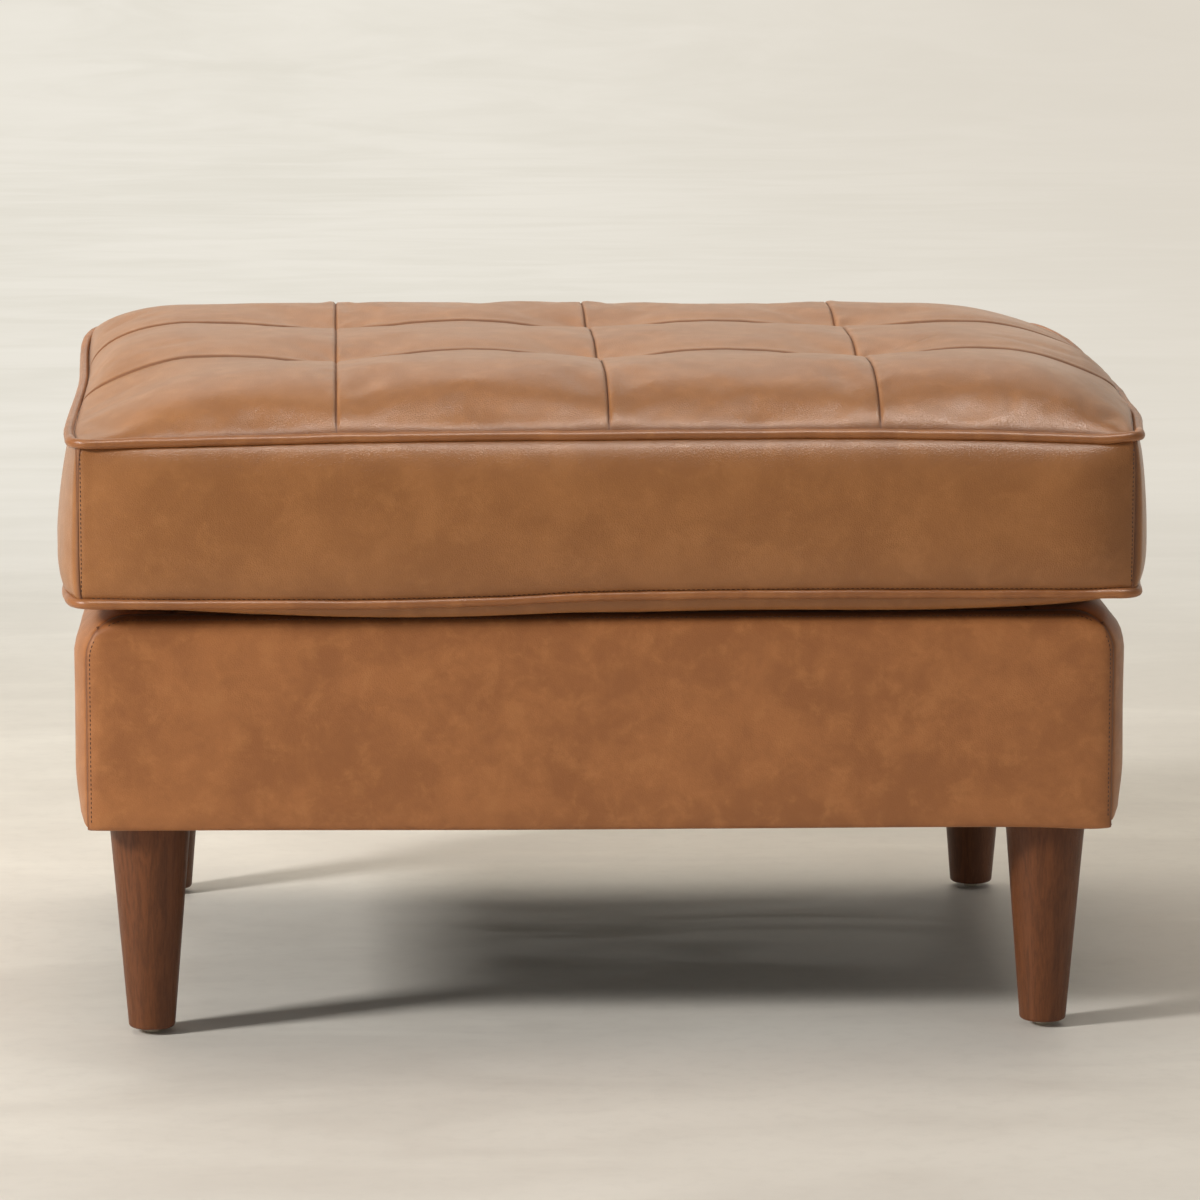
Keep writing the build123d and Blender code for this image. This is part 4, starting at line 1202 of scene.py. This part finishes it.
def side_outline():
    """Section of a side panel as (out, up, normal out, normal up), from the hem underneath to the deck."""
    fold = 2.5
    rows = [(-inward, 0.0, 0.0, -1.0) for inward in (28.0, 16.0, 8.0, 3.5)]
    for angle in np.radians(np.linspace(-80, -10, 4)):
        rows.append((-fold + fold * cos(angle), fold + fold * sin(angle), cos(angle), sin(angle)))
    shoulder = base_height - base_corner
    rows += [(0.0, fold + (shoulder - fold) * share, 1.0, 0.0) for share in np.linspace(0, 1, 22)]
    for angle in np.radians(np.linspace(0, 90, 12)[1:]):
        rows.append((base_corner * (cos(angle) - 1), shoulder + base_corner * sin(angle),
                     cos(angle), sin(angle)))
    rows += [(-base_corner - (base_wrap - base_corner) * share, base_height, 0.0, 1.0)
             for share in np.linspace(0, 1, 6)[1:]]
    return np.array(rows)


def side_panel(name, sign, node):
    """A side panel that rolls over the top edge onto the deck, fullest just behind its seams."""
    outline = side_outline()
    along = lines([-1, 1], 0.9 / base_half_y, 7.5 / base_half_y)
    section, share = np.meshgrid(np.arange(len(outline)), along, indexing="ij")
    out, up, normal_out, normal_up = (outline[:, k][section] for k in range(4))
    half = base_half_y - setback(np.clip(normal_up, 0, 1)) + 0.4
    y = share * half
    from_seam = half - np.abs(y)
    rise = 1 - (1 - np.clip(from_seam / 46, 0, 1)) ** 2.5
    full, low, shoulder = ((a if sign < 0 else b) for a, b in (panel_full, panel_low, panel_shoulder))
    fullness = low + (full - low) * smooth(up, -6, 40)
    fullness = fullness * (0.55 + 0.45 * smooth(up, 0, 5))
    fullness = fullness * np.where(normal_up > 0.02, np.clip(1 - normal_up, 0, 1) ** (shoulder * 0.6), 1.0)
    fullness = fullness * np.where(normal_up < -0.5, 0.0, 1.0)
    puff = fullness * rise - 1.3 * bump(from_seam, 1.4)
    puff += 0.5 * swell(y, up, 0, 60, 70.0 + sign) * rise * smooth(up, 5, 30) * (1 - np.clip(normal_up, 0, 1))
    x = base_mid_x + sign * (base_half_x + out + np.sign(normal_out) * np.abs(normal_out) ** shoulder * puff)
    z = base_floor + up + np.minimum(normal_up, 0.35) * puff * (normal_up > 0)
    near_seam = np.clip(1 - from_seam / edge_round, 0, 1)
    z = np.minimum(z, base_roof) - top_setback * np.clip(normal_up, 0, 1) * near_seam ** 2
    grid = np.stack([x, y, z], axis=-1)
    made = piece(name, grid, grid_faces(*x.shape), base_leather, base_middle, leather)
    inner_edge = bump(base_half_x - np.abs(x - base_mid_x) - base_wrap, 1.6)
    mark(made, "seam", np.maximum(bump(from_seam, 1.5), inner_edge * (up > base_height / 2)).ravel())
    finish_piece(made, "base", node)


side_panel("base_left", -1, "left_panel")
side_panel("base_right", 1, "right_panel")


def base_stitches():
    """Stitches down both corner seams of the front and rear faces, and along their tops."""
    inset, sunk = 2.8, 0.27
    straight_x, shoulder, radius = base_half_x - base_corner, base_height - base_corner, base_corner - inset
    turns = np.linspace(0, pi / 2, 16)[1:]
    out = np.concatenate([np.full(30, base_half_x - inset), straight_x + radius * np.cos(turns)])
    up = np.concatenate([np.linspace(4, shoulder, 30), shoulder + radius * np.sin(turns)])
    deep = base_half_y - setback(smooth(up, shoulder, base_height)) * sunk
    level = base_floor + up * (base_height - top_setback) / base_height
    along = np.linspace(-straight_x, straight_x, 40)
    parts = []
    for face in (-1, 1):
        for sign in (-1, 1):
            path = np.column_stack([base_mid_x + sign * out, face * deep, level])
            parts += stitch_line(path, (0.0, face, 0.0), *base_stitch)
        path = np.column_stack([base_mid_x + along, np.full(40, face * (base_half_y - setback(1.0) * sunk)),
                                np.full(40, base_roof - top_setback - inset)])
        parts += stitch_line(path, (0.0, face, 0.0), *base_stitch)
    return parts


base_thread = join_meshes("base_stitches", base_stitches(), dark_thread)
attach(base_thread, "base")


# Deck under the cushion

strip_low, strip_high = box_mm("deck_strips")
cloth_high = box_mm("deck_cloth")[1]


def deck_strip(name, sign):
    """A leather strip between the deck cloth and the seam of an end face."""
    outer = base_half_y - setback(1.0) + 0.2
    x, y = np.meshgrid(lines([strip_low[0], strip_high[0]], 1.5, 9.0),
                       lines([cloth_high[1], outer], 0.9, 6.0), indexing="ij")
    from_edge = np.minimum(y - cloth_high[1], outer - y)
    z = strip_high[2] - 0.9 * bump(from_edge, 1.8) - 0.25 + 0.25 * swell(x, y * sign, 0, 45, 80.0 + sign)
    grid = np.stack([x, sign * y, np.minimum(z, strip_high[2])], axis=-1)
    made = piece(name, grid, grid_faces(*x.shape), base_leather, (base_mid_x, 0, base_floor), 1.6)
    mark(made, "seam", bump(from_edge, 1.6).ravel())
    finish_piece(made, "base", "deck_strips")


deck_strip("deck_strip_front", -1)
deck_strip("deck_strip_rear", 1)


def sheet_grid(node, fine, coarse):
    """The box of a flat node, a grid over it and how far each point lies from its edge."""
    low, high = box_mm(node)
    x, y = np.meshgrid(lines([low[0], base_mid_x, high[0]], fine, coarse),
                       lines([low[1], 0.0, high[1]], fine, coarse), indexing="ij")
    from_edge = np.minimum(np.minimum(x - low[0], high[0] - x), high[1] - np.abs(y))
    return low, high, x, y, from_edge


def base_sheet(name, node, x, y, z, material, inside, wall):
    """A cloth stretched in the base, in place of a flat node whose size is its flat size."""
    made = piece(name, np.stack([x, y, z], axis=-1), grid_faces(*x.shape), material, inside, wall)
    finish_piece(made, "base", node)


low, high, x, y, from_edge = sheet_grid("deck_cloth", 2.0, 10.0)
z = high[2] - 0.6 + 0.6 * smooth(from_edge, 0, 60) + 0.25 * swell(x, y, 0, 50, 90.0)
base_sheet("deck_fabric", "deck_cloth", x, y, z, deck_weave, (base_mid_x, 0, base_floor), 0.9)

low, high, x, y, from_edge = sheet_grid("spring_cover", 3.0, 12.0)
z = high[2] - 0.1 - 0.12 * np.abs(swell(x, y, 0, 40, 110.0)) * smooth(from_edge, 4, 40)
base_sheet("spring_felt_sheet", "spring_cover", x, y, z, spring_felt, (base_mid_x, 0, base_floor),
           high[2] - low[2] - 0.3)

foam_low, foam_high = box_mm("deck_foam")


def deck_pad():
    """The foam sheet on the springs, rounded along its sides like the leather over it."""
    ring = rounded_path(1.0, 1.0, 0.05, 0.08, 4)
    half_x, half_y = (foam_high[0] - foam_low[0]) / 2, (foam_high[1] - foam_low[1]) / 2 - 0.5
    radius = base_corner - leather
    layers = []
    for share in (0.0, 0.08, 0.25, 0.45, 0.62, 0.76, 0.88, 0.96, 1.0):
        level = foam_low[2] + (foam_high[2] - 0.2 - foam_low[2]) * share
        turned = np.clip(1 - (base_roof - leather - level) / (edge_round - leather), 0, 1)
        rolled_back = setback(1.0) * (1 - sqrt(1 - turned ** 2)) + 1.2
        over = np.clip((level - (base_roof - base_corner)) / radius, 0, 1)
        inset = radius * (1 - sqrt(1 - over ** 2)) + 1.0
        layers.append(np.column_stack([base_mid_x + ring[:, 0] * (half_x - inset),
                                       ring[:, 1] * (half_y - rolled_back), np.full(len(ring), level)]))
    made = piece("deck_foam_pad", layers, capped_faces(len(layers), len(ring)), seat_foam)
    finish_piece(made, "base", "deck_foam")


deck_pad()


def rail_pad(name, low, high):
    """A thin foam slab on a rail, with rounded edges, given by its lowest and highest corners."""
    low, high = np.array(low), np.array(high)
    middle, half = (low + high) / 2, (high - low) / 2
    radius = min(1.6, *(half * 0.9))
    ring = rounded_path(half[0], half[1], radius, 20.0, 5)
    layers = []
    for angle in np.linspace(-90, 90, 9):
        scale = radius * (1 - cos(radians(angle)))
        z = np.sign(angle) * (half[2] - radius) + radius * sin(radians(angle))
        layers.append(np.column_stack([ring[:, 0] * (1 - scale / half[0]), ring[:, 1] * (1 - scale / half[1]),
                                       np.full(len(ring), z)]) + middle)
    made = piece(name, layers, capped_faces(len(layers), len(ring)), seat_foam)
    finish_piece(made, "base", "rail_padding")


(left, front, foot), (right, rear, _) = box_mm("rail_padding")
pad_top = foam_low[2] - 0.5
inner_left = 2 * base_mid_x - box_mm("front_rail")[1][0]
inner_right, inner_rear = box_mm("front_rail")[1][0], box_mm("rear_rail")[1][1]
rail_pad("rail_pad_front", (left, front, foot), (right, -inner_rear, pad_top))
rail_pad("rail_pad_rear", (left, inner_rear, foot), (right, rear, pad_top))
rail_pad("rail_pad_left", (left, -inner_rear, foot), (inner_left, inner_rear, pad_top))
rail_pad("rail_pad_right", (inner_right, -inner_rear, foot), (right, inner_rear, pad_top))


# Dust cover

leg_x, leg_y = 311.0, 234.0
low, high, x, y, from_edge = sheet_grid("dust_cover", 3.0, 9.0)
off_leg = np.min([np.hypot(x - base_mid_x - side * leg_x, y - end * leg_y)
                  for side in (-1, 1) for end in (-1, 1)], axis=0)
sag = 2.2 * smooth(from_edge, 20, 120) * smooth(off_leg, 30, 80)
wave = 0.9 * np.abs(swell(x, y, 0, 34, 100.0)) * (1 - smooth(from_edge, 2, 16)) * smooth(off_leg, 34, 60)
base_sheet("dust_cloth", "dust_cover", x, y, low[2] + 0.45 - sag - wave, dust_felt,
           (base_mid_x, 0, base_roof), 0.4)


# Camera

camera_place = Vector((-182.4, -4201.2, 939.7)) * MM
yaw, pitch, roll = 0.0449, 0.1592, 0.0017
focal_length = 174.88
sensor_width = 36.0

forward = Vector((sin(yaw) * cos(pitch), cos(yaw) * cos(pitch), -sin(pitch)))
right = Vector((cos(yaw), -sin(yaw), 0.0))
above = right.cross(forward)
turned_right = cos(roll) * right + sin(roll) * above
turned_up = cos(roll) * above - sin(roll) * right
camera_data = bpy.data.cameras.new("camera")
camera_data.lens = focal_length
camera_data.sensor_width = sensor_width
camera_data.clip_end = 50
camera = bpy.data.objects.new("camera", camera_data)
bpy.context.scene.collection.objects.link(camera)
turn = Matrix((turned_right, turned_up, -forward)).transposed().to_4x4()
camera.matrix_world = Matrix.Translation(camera_place) @ turn
bpy.context.scene.camera = camera


# Floor, backdrop and lights


def floor_finish():
    """Pale polished concrete that turns into the plain backdrop behind it."""
    mix = Recipe("studio_floor")
    clouds = mix.noise(1.3, 5.0, 0.6, 0.4)
    drift = mix.noise(5.0, 5.0, 0.6, 0.8, mix.stretched((0.5, 1.4, 1.0)))
    fine = mix.noise(60.0, 4.0, 0.6)
    cloudy = mix.spread(clouds * 0.6 + drift * 0.4, 0.4, 0.6)
    colour = mix.mix(cloudy, srgb(221, 215, 205), srgb(235, 230, 220))
    colour = mix.mix(mix.spread(fine, 0.45, 0.7) * 0.12, colour, srgb(200, 194, 184))
    # Painted shade: the floor's colour darkens towards the front
    colour = mix.mix(mix.spread(mix.axis("Y"), -0.35, -1.1) * 0.8, colour, srgb(204, 198, 191))
    floor = mix.node("ShaderNodeBsdfPrincipled", {}, {
        "Base Color": colour, "Roughness": mix.spread(drift, 0.4, 0.6, 0.5, 0.62),
        "Specular IOR Level": 0.35})
    mottled = mix.spread(clouds * 0.5 + drift * 0.5, 0.35, 0.65)
    wall_colour = mix.mix(mottled, srgb(228, 223, 211), srgb(236, 231, 220))
    # Painted shade: the backdrop's glow darkens towards the right
    wall_colour = mix.mix(mix.spread(mix.axis("X"), -0.3, 1.6) * 0.75, wall_colour, srgb(219, 211, 198))
    glow = mix.node("ShaderNodeEmission", {}, {"Color": wall_colour, "Strength": 1.0})
    wall = mix.node("ShaderNodeBsdfDiffuse", {}, {"Color": srgb(225, 220, 208)})
    ray = [mix.node("ShaderNodeLightPath", {}, {}, output=name)
           for name in ("Is Camera Ray", "Is Glossy Ray", "Is Transmission Ray")]
    seen = mix.node("ShaderNodeMath", {"operation": "ADD", "use_clamp": True},
                    {0: ray[0] + ray[1], 1: ray[2]})
    back = mix.node("ShaderNodeMixShader", {}, {0: seen, 1: wall, 2: glow})
    depth = mix.spread(mix.axis("Y"), 0.4, 2.6)
    return mix.finished(mix.node("ShaderNodeMixShader", {}, {0: depth, 1: floor, 2: back}))


# The sweep's profile in metres: a flat floor, a quarter turn and the wall behind
sweep_half, sweep_turn, sweep_radius, sweep_height = 14.0, 6.8, 2.0, 9.5
profile = [(place, 0.0) for place in (-sweep_half, -4.5, -2.0, 0.0, 1.2, 2.4, sweep_turn)]
profile += [(sweep_turn + sweep_radius * sin(radians(a)), sweep_radius - sweep_radius * cos(radians(a)))
            for a in range(6, 91, 6)]
profile += [(sweep_turn + sweep_radius, 5.0), (sweep_turn + sweep_radius, sweep_height)]
across = np.linspace(-sweep_half, sweep_half, 15)
sweep_points = np.array([[(px, py, pz) for px in across] for py, pz in profile]) / MM
studio = piece("studio_sweep", sweep_points, grid_faces(*sweep_points.shape[:2]), floor_finish())
if studio.data.polygons[0].normal.z < 0:
    studio.data.flip_normals()


def lamp(name, place, target, size, power, colour, lights="both"):
    """A soft lamp. It lights colours, gives gloss, or does both."""
    data = bpy.data.lights.new(name, "AREA")
    data.shape = "RECTANGLE"
    data.size, data.size_y = size
    data.energy = power
    data.color = colour
    made = bpy.data.objects.new(name, data)
    bpy.context.scene.collection.objects.link(made)
    made.location = place
    made.rotation_euler = (Vector(target) - Vector(place)).to_track_quat("-Z", "Y").to_euler()
    made.visible_camera = False
    made.visible_glossy = lights != "colour"
    made.visible_diffuse = lights != "gloss"


lamp("window", (-3.65, -1.87, 2.3), (0, 0, 0.25), (0.7, 0.8), 166, (1.0, 0.985, 0.96))
lamp("skylight", (-0.1, 0.8, 2.4), (0, 0.1, 0.2), (3.0, 1.7), 40, (1.0, 0.93, 0.82), "colour")
lamp("front_strip", (0.3, -1.15, 2.3), (0, -0.3, 0.42), (2.8, 0.3), 64, (1.0, 0.95, 0.88), "gloss")
lamp("back_glow", (0.0, 3.0, 3.0), (0, 0, 0.45), (3.0, 1.0), 12, (1.0, 0.97, 0.93), "gloss")

world = bpy.data.worlds.new("studio")
world.use_nodes = True
world.node_tree.nodes["Background"].inputs["Color"].default_value = (0.95, 0.93, 0.9, 1.0)
world.node_tree.nodes["Background"].inputs["Strength"].default_value = 0.27
bpy.context.scene.world = world
bpy.context.scene.view_settings.view_transform = "Standard"
